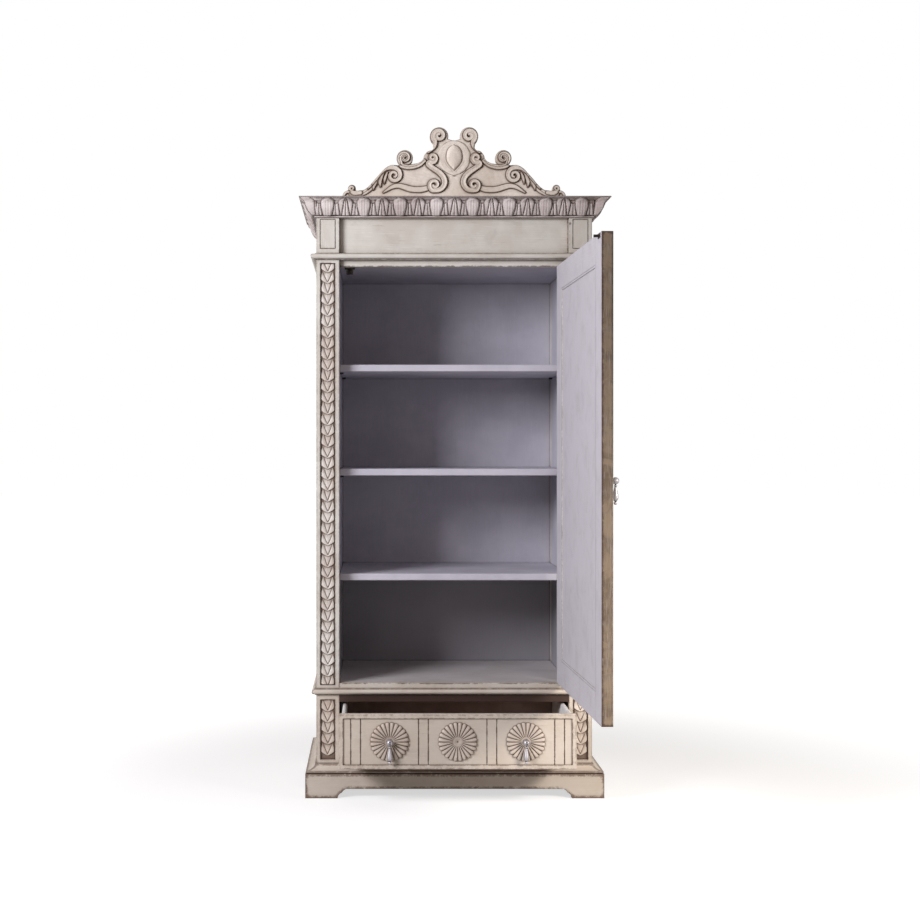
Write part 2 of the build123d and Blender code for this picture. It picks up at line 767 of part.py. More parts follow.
with BuildPart() as door_hinge_leaves:
    for z_bottom in hinge_bottoms:
        z_span = (z_bottom, z_bottom + hinge_height)
        add(door_block((leaf_inner, hinge_offset), z_span, (0, hinge_leaf_depth)))
        for index in range(0, hinge_knuckles, 2):
            gap_span = (z_bottom + index * knuckle_pitch, z_bottom + (index + 1) * knuckle_pitch)
            add(door_block((-knuckle_clear, knuckle_clear), gap_span, (-knuckle_clear, knuckle_clear)),
                mode=Mode.SUBTRACT)
        for index in range(1, hinge_knuckles, 2):
            knuckle(z_bottom, index, hinge_barrel_radius)
        with Locations((hinge_x, hinge_y, z_bottom)):
            Cylinder(hinge_pin_radius + pin_clearance, hinge_height,
                     align=(Align.CENTER, Align.CENTER, Align.MIN), mode=Mode.SUBTRACT)
save(door_hinge_leaves, "door_hinge_leaves")

# ---------------------------------------------------------------- door

hinge_stile_u = (hinge_offset, hinge_offset + door_stile_width)
free_stile_u = (door_free_edge - door_stile_width, door_free_edge)
rail_u = (hinge_stile_u[1], free_stile_u[0])
bottom_rail_z = (door_bottom, door_bottom + door_rail_height)
top_rail_z = (door_top - door_rail_height, door_top)
door_v = (door_outer, door_inner)
panel_v = (door_inner - panel_inner_recess - panel_thickness, door_inner - panel_inner_recess)
tongue_middle = (panel_v[0] + panel_v[1]) / 2
tongue_v = (tongue_middle - panel_tongue / 2, tongue_middle + panel_tongue / 2)
groove_v = (tongue_v[0] - seat_clearance, tongue_v[1] + seat_clearance)
panel_z = (bottom_rail_z[1], top_rail_z[0])
groove_reach = panel_tongue_depth + seat_clearance


def grown(span, amount):
    """A span made longer at both ends."""
    return (span[0] - amount, span[1] + amount)


groove_ring = (grown(rail_u, groove_reach), grown(panel_z, groove_reach), groove_v)

for name, u_span in (("hinge", hinge_stile_u), ("free", free_stile_u)):
    with BuildPart() as stile:
        add(door_block(u_span, (door_bottom, door_top), door_v))
        if name == "free":
            outer_edge = stile.edges().filter_by(Axis.Z).sort_by(Axis.Y)[:2].sort_by(Axis.X)[-1]
            fillet(outer_edge, radius=door_edge_radius)
        add(door_block(*groove_ring), mode=Mode.SUBTRACT)
    save(stile, f"door_stile_{name}")

for name, z_span in (("bottom", bottom_rail_z), ("top", top_rail_z)):
    with BuildPart() as door_rail:
        add(door_block(rail_u, z_span, door_v))
        add(door_block(*groove_ring), mode=Mode.SUBTRACT)
    save(door_rail, f"door_rail_{name}")

panel_field_u = grown(rail_u, -seat_clearance)
panel_field_z = grown(panel_z, -seat_clearance)
panel_size = (panel_field_u[1] - panel_field_u[0], panel_field_z[1] - panel_field_z[0])
panel_centre = ((rail_u[0] + rail_u[1]) / 2, (panel_z[0] + panel_z[1]) / 2)
with BuildPart() as door_panel:
    # The tongue runs in the grooves of the stiles and rails.
    add(door_block(grown(rail_u, panel_tongue_depth), grown(panel_z, panel_tongue_depth), tongue_v))
    add(door_block(panel_field_u, panel_field_z, (tongue_middle, panel_v[1])))
    # The outer side is raised and fielded: a flat middle with a sloping margin.
    with BuildSketch(door_plane.offset(tongue_middle)):
        with Locations(panel_centre):
            Rectangle(*panel_size)
    extrude(amount=-(tongue_middle - panel_v[0]) + panel_bevel_depth)
    with BuildSketch(door_plane.offset(panel_v[0] + panel_bevel_depth)):
        with Locations(panel_centre):
            Rectangle(*panel_size)
    with BuildSketch(door_plane.offset(panel_v[0])):
        with Locations(panel_centre):
            Rectangle(panel_size[0] - 2 * panel_bevel, panel_size[1] - 2 * panel_bevel)
    loft()
    # A thin bead outlines the flat inner side.
    with BuildSketch(door_plane.offset(panel_v[1])):
        with Locations(panel_centre):
            Rectangle(*panel_size)
            Rectangle(panel_size[0] - 2 * bead_width, panel_size[1] - 2 * bead_width, mode=Mode.SUBTRACT)
    extrude(amount=bead_height)
save(door_panel, "door_panel")

strike_middle = catch_bottom + (catch_height - catch_plate_thickness) / 2
with BuildPart() as door_strike:
    add(door_block((strike_centre_u - strike_width / 2, strike_centre_u + strike_width / 2),
                   (strike_middle - strike_height / 2, strike_middle + strike_height / 2),
                   (door_inner, door_inner + strike_plate)))
    add(door_block((strike_centre_u - strike_tongue_width / 2, strike_centre_u + strike_tongue_width / 2),
                   (strike_middle - strike_tongue_height / 2, strike_middle + strike_tongue_height / 2),
                   (door_inner + strike_plate, door_inner + strike_plate + strike_tongue_length)))
save(door_strike, "door_strike")

# ---------------------------------------------------------------- drawer

drawer_half = opening_half - drawer_gap_side
drawer_front_z = (drawer_opening_bottom + drawer_gap_bottom, drawer_opening_top - drawer_gap_top)
drawer_centre_z = (drawer_front_z[0] + drawer_front_z[1]) / 2
drawer_front_height = drawer_front_z[1] - drawer_front_z[0]
drawer_box_y = (drawer_y + drawer_front_thickness, drawer_y + drawer_front_thickness + drawer_length)
drawer_side_z = (drawer_front_z[0], drawer_front_z[1] - drawer_side_drop)
bottom_z = (drawer_side_z[0] + drawer_bottom_height,
            drawer_side_z[0] + drawer_bottom_height + drawer_bottom_thickness)
side_half = drawer_half - drawer_side_inset
inner_half = side_half - drawer_side_thickness
bottom_half = inner_half + drawer_groove_depth - seat_clearance
groove_block = (
    (-inner_half - drawer_groove_depth, inner_half + drawer_groove_depth),
    (drawer_box_y[0] - drawer_groove_depth, drawer_box_y[1] + cut_margin),
    (bottom_z[0] - seat_clearance, bottom_z[1] + seat_clearance),
)

with BuildPart() as drawer_front:
    add(board((-drawer_half, drawer_half), (drawer_y, drawer_box_y[0]), drawer_front_z).part)
    face_edges = drawer_front.edges().group_by(Axis.Y)[0]
    fillet(face_edges, radius=drawer_face_rounding)
    with BuildSketch(drawer_plane):
        with Locations((0, drawer_centre_z)):
            Rectangle(2 * (drawer_half - drawer_border), drawer_front_height - 2 * drawer_border)
    extrude(amount=-drawer_field_depth, mode=Mode.SUBTRACT)
    with BuildSketch(drawer_plane.offset(-drawer_field_depth)):
        for position in drawer_groove_positions:
            with Locations((-position, drawer_centre_z), (position, drawer_centre_z)):
                Rectangle(groove_width, drawer_front_height - 2 * drawer_border)
    extrude(amount=-groove_depth, mode=Mode.SUBTRACT)
    add(board(*groove_block).part, mode=Mode.SUBTRACT)
save(drawer_front, "drawer_front")

for side, sign in SIDES:
    with BuildPart() as drawer_side:
        add(board(handed(sign, inner_half, side_half), drawer_box_y, drawer_side_z).part)
        top_edges = drawer_side.edges().filter_by(Axis.Y).group_by(Axis.Z)[-1]
        fillet(top_edges, radius=drawer_side_rounding_share * drawer_side_thickness)
        add(board(*groove_block).part, mode=Mode.SUBTRACT)
    save(drawer_side, f"drawer_side_{side}")

drawer_back = board((-inner_half, inner_half), (drawer_box_y[1] - drawer_side_thickness, drawer_box_y[1]),
                    (bottom_z[1] + seat_clearance, drawer_side_z[1] - drawer_side_thickness / 2))
save(drawer_back, "drawer_back")
drawer_bottom = board((-bottom_half, bottom_half),
                      (drawer_box_y[0] - drawer_groove_depth + seat_clearance, drawer_box_y[1]), bottom_z)
save(drawer_bottom, "drawer_bottom")

runner_top = drawer_side_z[0] - seat_clearance
with BuildPart() as drawer_runners:
    for side, sign in SIDES:
        add(board(handed(sign, opening_half - runner_width, opening_half), (rail_y[1], back_panel_y),
                  (runner_top - runner_height, runner_top)).part)
        add(board(handed(sign, opening_half - runner_guide_width, opening_half), (rail_y[1], back_panel_y),
                  (runner_top - runner_height, runner_top + runner_guide_height)).part)
save(drawer_runners, "drawer_runners")

# ---------------------------------------------------------------- rosettes

rosette_radius = rosette_diameter / 2
rosette_plane = drawer_plane.offset(-drawer_field_depth)
petal_length = rosette_radius - rosette_centre_radius
rim_plane = rosette_plane.offset(rosette_rim_height)
crown_plane = rosette_plane.offset(rosette_crown_height)
with BuildPart() as rosette:
    with BuildSketch(rosette_plane):
        RegularPolygon(rosette_radius, rosette_petals)
    extrude(amount=rosette_rim_height)
    with BuildSketch(rim_plane):
        RegularPolygon(rosette_radius, rosette_petals)
    with BuildSketch(crown_plane):
        RegularPolygon(rosette_crown_radius, rosette_petals)
    loft(ruled=True)
    with BuildSketch(crown_plane):
        RegularPolygon(rosette_crown_radius, rosette_petals)
    with BuildSketch(rosette_plane.offset(rosette_centre_height)):
        RegularPolygon(rosette_centre_radius, rosette_petals)
    loft(ruled=True, mode=Mode.SUBTRACT)
    with BuildSketch(rosette_plane.offset(rosette_rim_height / 2)):
        with PolarLocations(rosette_centre_radius + petal_length / 2, rosette_petals):
            Rectangle(petal_length + cut_margin, petal_groove_width)
        with PolarLocations(rosette_radius, rosette_petals):
            Rectangle(petal_notch_side, petal_notch_side, rotation=45)
    extrude(amount=rosette_crown_height, mode=Mode.SUBTRACT)

with BuildPart() as drawer_rosettes:
    for x in (-rosette_spacing, 0, rosette_spacing):
        with Locations((x, 0, drawer_centre_z)):
            add(rosette.part)
save(drawer_rosettes, "drawer_rosettes")

# ---------------------------------------------------------------- drop pulls


def pull_rose(face):
    """A ball on a short neck, slotted for the drop, with the pin that the drop hangs on."""
    ball = face.offset(pull_ball_standoff)
    slot_clear = pull_eye_radius + cut_margin
    with BuildPart() as piece:
        with BuildSketch(face):
            Circle(pull_plate_radius)
        extrude(amount=pull_plate_thickness)
        with BuildSketch(face):
            Circle(pull_neck_radius)
        extrude(amount=pull_ball_standoff)
        with Locations(ball):
            Sphere(pull_ball_radius)
            with Locations((0, slot_clear, -slot_clear)):
                Box(pull_slot_width, 2 * pull_ball_radius, 2 * pull_ball_radius,
                    align=(Align.CENTER, Align.MAX, Align.MIN), mode=Mode.SUBTRACT)
            Cylinder(pull_pin_radius, pull_ball_radius, rotation=(0, 90, 0))
    return piece.part


def pull_drop(face):
    """A turned drop with a finial, hung from its eye."""
    ball = face.offset(pull_ball_standoff)
    neck_end = pull_ball_radius + cut_margin
    finial_centre = drop_length - drop_finial_radius
    waist = finial_centre - drop_finial_radius
    belly = waist - drop_belly_height
    taper = (drop_taper_share * drop_body_radius, -(neck_end + belly) / 2)
    base = (drop_base_share * drop_body_radius, drop_base_height - waist)
    section = Plane(origin=ball.origin, x_dir=face.x_dir, z_dir=face.z_dir)
    with BuildPart() as piece:
        with BuildSketch(section):
            with BuildLine():
                Polyline((0, 0), (drop_neck_radius, 0), (drop_neck_radius, -neck_end))
                ThreePointArc((drop_neck_radius, -neck_end), taper, (drop_body_radius, -belly))
                ThreePointArc((drop_body_radius, -belly), base, (drop_waist_radius, -waist))
                Polyline((drop_waist_radius, -waist), (drop_waist_radius, -finial_centre),
                         (0, -finial_centre), (0, 0))
            make_face()
        revolve(axis=Axis(ball.origin, face.y_dir))
        with Locations(ball):
            with Locations((0, -finial_centre, 0)):
                Sphere(drop_finial_radius)
            Cylinder(pull_eye_radius, pull_eye_width, rotation=(0, 90, 0))
            Cylinder(pull_pin_radius + pull_eye_clearance, pull_ball_radius, rotation=(0, 90, 0),
                     mode=Mode.SUBTRACT)
    return piece.part


rosette_centre_plane = rosette_plane.offset(rosette_centre_height)
drawer_pull_faces = {
    side: Plane(origin=(sign * rosette_spacing, rosette_centre_plane.origin.Y, drawer_centre_z),
                x_dir=(1, 0, 0), z_dir=(0, -1, 0))
    for side, sign in SIDES
}
with BuildPart() as drawer_pull_roses:
    for face in drawer_pull_faces.values():
        add(pull_rose(face))
save(drawer_pull_roses, "drawer_pull_roses")

for side, face in drawer_pull_faces.items():
    with BuildPart() as drawer_pull_drop:
        add(pull_drop(face))
    save(drawer_pull_drop, f"drawer_pull_drop_{side}")

door_pull_u = door_free_edge - pull_edge_distance
door_outer_plane = door_plane.offset(door_outer)
door_pull_face = Plane(
    origin=door_outer_plane.from_local_coords((door_pull_u, pull_height_on_door, 0)),
    x_dir=-door_plane.x_dir,
    z_dir=-door_plane.z_dir,
)
with BuildPart() as door_pull_rose:
    add(pull_rose(door_pull_face))
save(door_pull_rose, "door_pull_rose")
with BuildPart() as door_pull_drop:
    add(pull_drop(door_pull_face))
save(door_pull_drop, "door_pull_drop")
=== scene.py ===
"""Looks of a painted trastero: a tall carved cabinet with one door, shelves and a rosette drawer.

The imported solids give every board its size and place. This script dresses them in worn paint,
cuts the finer carving over the crest, the cornice, the posts and the drawer, turns the drop pulls,
and sets the studio that the cabinet stands in. Lengths are metres, except in the carving drawings,
which are in millimetres as a carver would draw them.
"""

from __future__ import annotations

import logging
import math
from dataclasses import dataclass, field
from enum import Enum
from typing import Any, Callable, Mapping, Sequence

import bmesh
import bpy
import numpy as np
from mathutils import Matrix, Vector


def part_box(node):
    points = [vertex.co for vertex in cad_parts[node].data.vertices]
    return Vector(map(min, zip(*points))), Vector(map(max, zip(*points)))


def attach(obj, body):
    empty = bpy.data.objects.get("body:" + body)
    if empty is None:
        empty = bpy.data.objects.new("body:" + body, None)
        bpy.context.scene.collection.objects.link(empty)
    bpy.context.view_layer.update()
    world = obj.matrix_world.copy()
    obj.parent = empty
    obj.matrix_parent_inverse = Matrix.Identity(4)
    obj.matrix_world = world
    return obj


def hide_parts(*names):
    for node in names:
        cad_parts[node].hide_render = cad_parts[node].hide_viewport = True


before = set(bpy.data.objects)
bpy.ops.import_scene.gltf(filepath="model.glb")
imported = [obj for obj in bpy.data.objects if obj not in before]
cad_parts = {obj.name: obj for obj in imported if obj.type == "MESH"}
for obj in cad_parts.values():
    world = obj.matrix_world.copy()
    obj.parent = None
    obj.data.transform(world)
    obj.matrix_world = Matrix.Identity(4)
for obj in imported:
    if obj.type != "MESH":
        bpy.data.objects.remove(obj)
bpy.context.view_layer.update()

logging.basicConfig(level=logging.INFO, format="%(name)s: %(message)s")
log = logging.getLogger("trastero")

MM = 0.001


# ---------------------------------------------------------------- named options


class Grain(Enum):
    """The direction in which a board's grain and brush strokes run."""

    ACROSS = 0
    DEEP = 1
    UPRIGHT = 2


class Side(Enum):
    """A side of the cabinet, as the sign of its x."""

    LEFT = -1
    RIGHT = 1


# ---------------------------------------------------------------- small helpers


def linear(code: str) -> tuple[float, float, float, float]:
    """Turn an sRGB hex colour into the linear colour that a shader takes.

    Args:
        code: Six hex digits, with or without a leading hash.

    Returns:
        Red, green, blue and an alpha of 1.
    """
    digits = code.lstrip("#")
    shares = [int(digits[i : i + 2], 16) / 255 for i in (0, 2, 4)]
    red, green, blue = (s / 12.92 if s <= 0.04045 else ((s + 0.055) / 1.055) ** 2.4 for s in shares)
    return red, green, blue, 1.0


def per_metre(size_mm: float) -> float:
    """Give the texture scale at which a feature is about size_mm across."""
    return 1.0 / (size_mm * MM)


def add_node(
    tree: bpy.types.NodeTree,
    kind: str,
    inputs: Sequence[Any] | Mapping[str | int, Any] = (),
    settings: Mapping[str, Any] | None = None,
    output: str | int = 0,
) -> Any:
    """Add a node with its settings and its inputs.

    Args:
        tree: The node tree that gets the node.
        kind: The node's type without the word ShaderNode.
        inputs: Numbers, colours and output sockets, in the order of the node's own sockets, or by
            the place or name of each socket.
        settings: Properties of the node itself.
        output: The place or name of the output that is wanted.

    Returns:
        That output's socket, or the node itself where it has none.
    """
    made = tree.nodes.new("ShaderNode" + kind)
    for key, value in (settings or {}).items():
        setattr(made, key, value)
    for key, given in inputs.items() if isinstance(inputs, Mapping) else enumerate(inputs):
        if isinstance(given, bpy.types.NodeSocket):
            tree.links.new(given, made.inputs[key])
        else:
            made.inputs[key].default_value = given
    return made.outputs[output] if made.outputs else made


# Settings of the nodes that the finishes use most. A smooth spread takes a value, the two limits
# it is spread between and, where they aren't 0 and 1, the results at those limits.
SMOOTH = {"interpolation_type": "SMOOTHSTEP"}
TIMES = {"operation": "MULTIPLY", "use_clamp": True}
PLUS = {"operation": "ADD", "use_clamp": True}
LARGER = {"operation": "MAXIMUM", "use_clamp": True}
COLOURS = {"data_type": "RGBA"}
# The places of a colour mix's sockets: the amount, the lower and the upper colour, and the result.
AMOUNT, UNDER, OVER, MIXED = 0, 6, 7, 2


def new_material(name: str) -> tuple[bpy.types.Material, bpy.types.NodeTree]:
    """Make a material with an empty node tree.

    Args:
        name: The material's name.

    Returns:
        The material and its tree.
    """
    material = bpy.data.materials.new(name)
    material.use_nodes = True
    material.node_tree.nodes.clear()
    return material, material.node_tree


# ---------------------------------------------------------------- finishes


# A dark brown painted on a board below a given height, a painted shade where it lies in shadow.
PAINTED_SHADE_BROWN = "#3a2820"
# The tan that damp and floor wax bring out in the coat, up to the waist.
FLOOR_TAN = "#b9a48f"

# How far the lower tone goes at most: browning on the cream, painted shade on the lavender walls.
LOW_TONE_MOST = 0.75

# The widths in millimetres of the breaks along an arris, of the stains and between two knots.
CHIP_MM, STAIN_MM, KNOT_MM = 14, 70, 75
# How many times longer than wide a brush stroke is.
STROKE_LENGTH = 28
# The heights in metres between which shoes and brooms have kicked the plinth, and how much more
# often an arris there is rubbed bare.
KICKED = (0.125, 0.085)
KICKED_MORE = 0.2
# How high the brush strokes stand, how strongly they show, and how much smoother and rougher than
# the wax they make the sheen.
STROKE_HEIGHT_MM, STROKE_STRENGTH = 0.4, 0.35
SMOOTHER, ROUGHER = 0.06, 0.1
# Milk paint reflects less than a plastic or a varnish does.
CHALKY_SPECULAR = 0.35
# How squarely a face has to look one way before its own coat starts and is full.
FACING = (0.6, 0.8)

# Where each mark of the coat starts and is full, on its own texture.
TWO_TONES = (0.36, 0.66)
COAT_PATCHES = (0.4, 0.62)
DRY_BRUSH = (0.36, 0.6, 0.08, 0.42)
DARK_STROKES = (0.5, 0.7)
CHALKY_STROKES = (0.46, 0.3)
DEEP_SCRATCHES = (0.645, 0.73)
SCRATCHED_AREAS = (0.47, 0.56)
RARE_KNOTS = (0.72, 0.74)
KNOT_DISC = (0.085, 0.03)
SMEARS = (0.52, 0.72)
SHEEN = (0.3, 0.7)
# The same for the glaze and the painted shade in corners and round hollows, on how open a place
# is to the light, and for where it broke up.
HOLLOWS = (0.85, 0.35)
CORNERS = (0.9, 0.42)
BROKEN_GLAZE = (0.25, 0.6, 0.6)
# The same for the rubbing, on how thin the wood is, and for where a hand or a cloth came by often.
ARRISES = (0.97, 0.55)
CHIPS = (0.3, 0.62, 0.12)
RUBBED_AREAS = (0.34, 0.58, 0.4)
WORN_THROUGH = (0.2, 0.58)


@dataclass(frozen=True)
class FacingCoat:
    """A different coat on the faces that look one way.

    Attributes:
        towards: The direction of those faces, at rest.
        paint: The coat's colour.
        shade: The darker colour of its patches.
        keeps: How far it is spared the rubbing of the arrises, from 0 to 1.
    """

    towards: tuple[float, float, float]
    paint: str
    shade: str
    keeps: float = 0.0

    def amount(self, tree: bpy.types.NodeTree) -> Any:
        """Tell how far a face looks this coat's way, as a socket from 0 to 1."""
        facing = add_node(tree, "TexCoord", output="Normal")
        turned = add_node(
            tree, "VectorMath", (facing, self.towards), {"operation": "DOT_PRODUCT"}, "Value"
        )
        return add_node(tree, "MapRange", (turned, *FACING), SMOOTH)


@dataclass(frozen=True)
class Marks:
    """The textures that one coat's marks are drawn from, as sockets.

    Attributes:
        place: The place on the object.
        height: The height over the floor, in metres.
        strokes: The brush strokes along the grain.
        drift: The large soft patches of one tone.
        chips: The small breaks along an arris.
        stains: The middle-sized uneven patches.
    """

    place: Any
    height: Any
    strokes: Any
    drift: Any
    chips: Any
    stains: Any


@dataclass(frozen=True)
class GlazedMilkPaint:
    """Milk paint over pine, with a brown glaze wiped back and the edges rubbed.

    Milk paint dries chalky and a little uneven, so it drifts between two tones and keeps its brush
    strokes. The glaze stays in corners and cuts as a soft brown line, partly real glaze and partly
    painted shade, since it follows how closed in a place is; a broad brown painted shade spreads
    round the hollows; and rubbing shows the brown ground on the arrises. A thin wax gives a low,
    broken sheen.

    Attributes:
        name: The finish's name.
        paint: The coat's colour.
        shade: The darker tone that the coat drifts to.
        glaze: The colour of the glaze and its painted shade in the deepest corner.
        ground: The colour that shows where an arris is rubbed.
        bloom: The chalky tone of the thickest brush strokes.
        grain: The direction of the brush strokes.
        drift_mm: The width of a patch of one tone.
        stroke_mm: The width of a brush stroke.
        corner_mm: How far the glaze and its painted shade reach out of a corner.
        arris_mm: The rounding of an arris.
        wear_mm: How far the rubbing reaches from an arris.
        glazed: How strong the glaze and its painted shade are, from 0 to 1.
        rubbed: How far the arrises are rubbed, from 0 to 1.
        chipped: How much more often than usual an arris is rubbed bare, from 0 to 1.
        stained: How strong the large glaze stains on flat wood are, from 0 to 1.
        waxed: The roughness of the wax.
        shade_wash_mm: How far the broad painted shade spreads out of a hollow.
        shade_washed: How strong that painted shade is, from 0 to 1.
        scratched: How strong the long fine scratches are, from 0 to 1.
        knotted: How strong the small knots of the pine show through, from 0 to 1.
        age_and_shade: How strong the lower tone is, from 0 to 1: browning near the floor on the cream
            coats, painted shade in the lowest bay on the lavender walls.
        age_and_shade_between: The heights in metres where that tone starts and is full.
        age_and_shade_tone: The colour of that tone.
        shaded_below: The height in metres below which the board is painted dark brown as painted shade.
        coats: Coats on faces that look another way.
    """

    name: str
    paint: str
    shade: str
    glaze: str = "#503929"
    ground: str = "#563d2e"
    bloom: str = "#ece8e3"
    grain: Grain = Grain.UPRIGHT
    drift_mm: float = 160.0
    stroke_mm: float = 2.6
    corner_mm: float = 7.0
    arris_mm: float = 2.2
    wear_mm: float = 8.0
    glazed: float = 0.9
    rubbed: float = 0.8
    chipped: float = 0.0
    stained: float = 0.12
    waxed: float = 0.52
    shade_wash_mm: float = 34.0
    shade_washed: float = 0.42
    scratched: float = 0.55
    knotted: float = 0.75
    age_and_shade: float = 0.6
    age_and_shade_between: tuple[float, float] = (0.42, 0.3)
    age_and_shade_tone: str = FLOOR_TAN
    shaded_below: float = -1.0
    coats: tuple[FacingCoat, ...] = ()

    def read_marks(self, tree: bpy.types.NodeTree) -> Marks:
        """Lay out the textures of the coat.

        Args:
            tree: The node tree.

        Returns:
            The textures' sockets.
        """
        place = add_node(tree, "TexCoord", output="Object")
        along = [per_metre(self.stroke_mm)] * 3
        along[self.grain.value] /= STROKE_LENGTH
        stretched = add_node(tree, "Mapping", {"Vector": place, "Scale": along})
        textures = (
            {"Vector": stretched, "Scale": 1.0, "Detail": 4.0, "Roughness": 0.6},
            {"Vector": place, "Scale": per_metre(self.drift_mm), "Detail": 5.0, "Roughness": 0.62},
            {"Vector": place, "Scale": per_metre(CHIP_MM), "Detail": 6.0, "Roughness": 0.7},
            {"Vector": place, "Scale": per_metre(STAIN_MM), "Detail": 7.0, "Roughness": 0.68,
             "Distortion": 0.6},
        )
        strokes, drift, chips, stains = (add_node(tree, "TexNoise", inputs) for inputs in textures)
        height = add_node(tree, "SeparateXYZ", (place,), output="Z")
        return Marks(place, height, strokes, drift, chips, stains)

    def coat_colour(self, tree: bpy.types.NodeTree, marks: Marks) -> Any:
        """Colour the bare coat on each face.

        Args:
            tree: The node tree.
            marks: The coat's textures.

        Returns:
            The colour's socket.
        """
        tone = add_node(tree, "MapRange", (marks.drift, *TWO_TONES), SMOOTH)
        tones = {AMOUNT: tone, UNDER: linear(self.paint), OVER: linear(self.shade)}
        colour = add_node(tree, "Mix", tones, COLOURS, MIXED)
        patches = add_node(tree, "MapRange", (marks.stains, *COAT_PATCHES), SMOOTH)
        for coat in self.coats:
            shades = {AMOUNT: patches, UNDER: linear(coat.paint), OVER: linear(coat.shade)}
            own = add_node(tree, "Mix", shades, COLOURS, MIXED)
            parts = {AMOUNT: coat.amount(tree), UNDER: colour, OVER: own}
            colour = add_node(tree, "Mix", parts, COLOURS, MIXED)
        return colour

    def brushed_layers(self, tree: bpy.types.NodeTree, marks: Marks) -> list[tuple[Any, str]]:
        """List what brush, scratches, knots, age, painted shade and stains lay over the coat.

        Args:
            tree: The node tree.
            marks: The coat's textures.

        Returns:
            Each layer's amount and colour, from the lowest up.
        """
        cells = {"Vector": marks.place, "Scale": per_metre(KNOT_MM), "Randomness": 1.0}
        distance = add_node(tree, "TexVoronoi", cells, output="Distance")
        lot = add_node(tree, "SeparateColor", (distance.node.outputs["Color"],))
        spreads = (
            (marks.stains, DRY_BRUSH), (marks.strokes, DARK_STROKES), (marks.strokes, CHALKY_STROKES),
            (marks.strokes, DEEP_SCRATCHES), (marks.drift, SCRATCHED_AREAS), (distance, KNOT_DISC),
            (lot, RARE_KNOTS), (marks.height, (*self.age_and_shade_between, 0.0, LOW_TONE_MOST)),
            (marks.stains, SMEARS),
        )
        dry, dark, chalky, deep, area, disc, chosen, low, smear = (
            add_node(tree, "MapRange", (source, *limits), SMOOTH) for source, limits in spreads
        )
        laid = (
            (dark, dry, self.shade),
            (chalky, dry, self.bloom),
            (add_node(tree, "Math", (deep, area), TIMES), self.scratched, self.ground),
            (add_node(tree, "Math", (disc, chosen), TIMES), self.knotted, self.ground),
            # The lower tone: browning near the floor on the cream, painted shade in the lowest bay.
            (low, self.age_and_shade, self.age_and_shade_tone),
            (smear, self.stained, self.ground),
        )
        return [(add_node(tree, "Math", (mark, share), TIMES), tone) for mark, share, tone in laid]

    def glaze_and_shade_layers(self, tree: bpy.types.NodeTree, marks: Marks) -> list[tuple[Any, str]]:
        """List the painted shade round hollows and the glaze, partly painted shade, in corners and cuts.

        Args:
            tree: The node tree.
            marks: The coat's textures.

        Returns:
            Each layer's amount and colour, from the lowest up.
        """
        near = {"samples": 12, "only_local": False}
        # The glaze in corners follows how closed in a place is, so it is partly real glaze and partly
        # painted shade; the broad wash round the hollows is painted shade.
        corner = add_node(tree, "AmbientOcclusion", {"Distance": self.corner_mm * MM}, near, "AO")
        wide = dict(near, samples=6)
        hollow = add_node(tree, "AmbientOcclusion", {"Distance": self.shade_wash_mm * MM}, wide, "AO")
        shade_wash = add_node(tree, "MapRange", (hollow, *HOLLOWS), SMOOTH)
        deep = add_node(tree, "MapRange", (corner, *CORNERS), SMOOTH)
        broken = add_node(tree, "MapRange", (marks.chips, *BROKEN_GLAZE), SMOOTH)
        caught = add_node(tree, "Math", (deep, broken), TIMES)
        carved = add_node(tree, "Attribute", settings={"attribute_name": "glaze"}, output="Fac")
        glaze_and_shade = add_node(tree, "Math", (caught, carved), LARGER)
        return [
            (add_node(tree, "Math", (shade_wash, self.shade_washed), TIMES), self.ground),
            (add_node(tree, "Math", (glaze_and_shade, self.glazed), TIMES), self.glaze),
        ]

    def rubbed_amount(self, tree: bpy.types.NodeTree, marks: Marks) -> Any:
        """Find where the arrises are rubbed through to the ground.

        Args:
            tree: The node tree.
            marks: The coat's textures.

        Returns:
            The rubbing's socket, from 0 to 1.
        """
        kicked = add_node(tree, "MapRange", (marks.height, *KICKED), SMOOTH)
        more = add_node(tree, "Math", (kicked, self.wear_mm * MM), TIMES)
        reach = add_node(tree, "Math", (self.wear_mm * MM, more), PLUS)
        within = {"samples": 8, "inside": True, "only_local": True}
        thin = add_node(tree, "AmbientOcclusion", {"Distance": reach}, within, "AO")
        arris = add_node(tree, "MapRange", (thin, *ARRISES), SMOOTH)
        chips = add_node(tree, "MapRange", (marks.chips, *CHIPS), SMOOTH)
        areas = add_node(tree, "MapRange", (marks.stains, *RUBBED_AREAS), SMOOTH)
        often = add_node(tree, "Math", (chips, areas), TIMES)
        below = add_node(tree, "Math", (kicked, KICKED_MORE), TIMES)
        often = add_node(tree, "Math", (often, below), PLUS)
        often = add_node(tree, "Math", (often, self.chipped), PLUS)
        worn = add_node(tree, "Math", (arris, often), TIMES)
        through = add_node(tree, "MapRange", (worn, *WORN_THROUGH), SMOOTH)
        worn = add_node(tree, "Math", (through, self.rubbed), TIMES)
        for coat in self.coats:
            spared = add_node(tree, "MapRange", (coat.amount(tree), 0, 1, 1, 1 - coat.keeps), SMOOTH)
            worn = add_node(tree, "Math", (worn, spared), TIMES)
        return worn

    def build(self) -> bpy.types.Material:
        """Make the finish's material.

        Returns:
            The material.
        """
        material, tree = new_material(self.name)
        marks = self.read_marks(tree)
        layers = self.brushed_layers(tree, marks) + self.glaze_and_shade_layers(tree, marks)
        layers.append((self.rubbed_amount(tree, marks), self.ground))
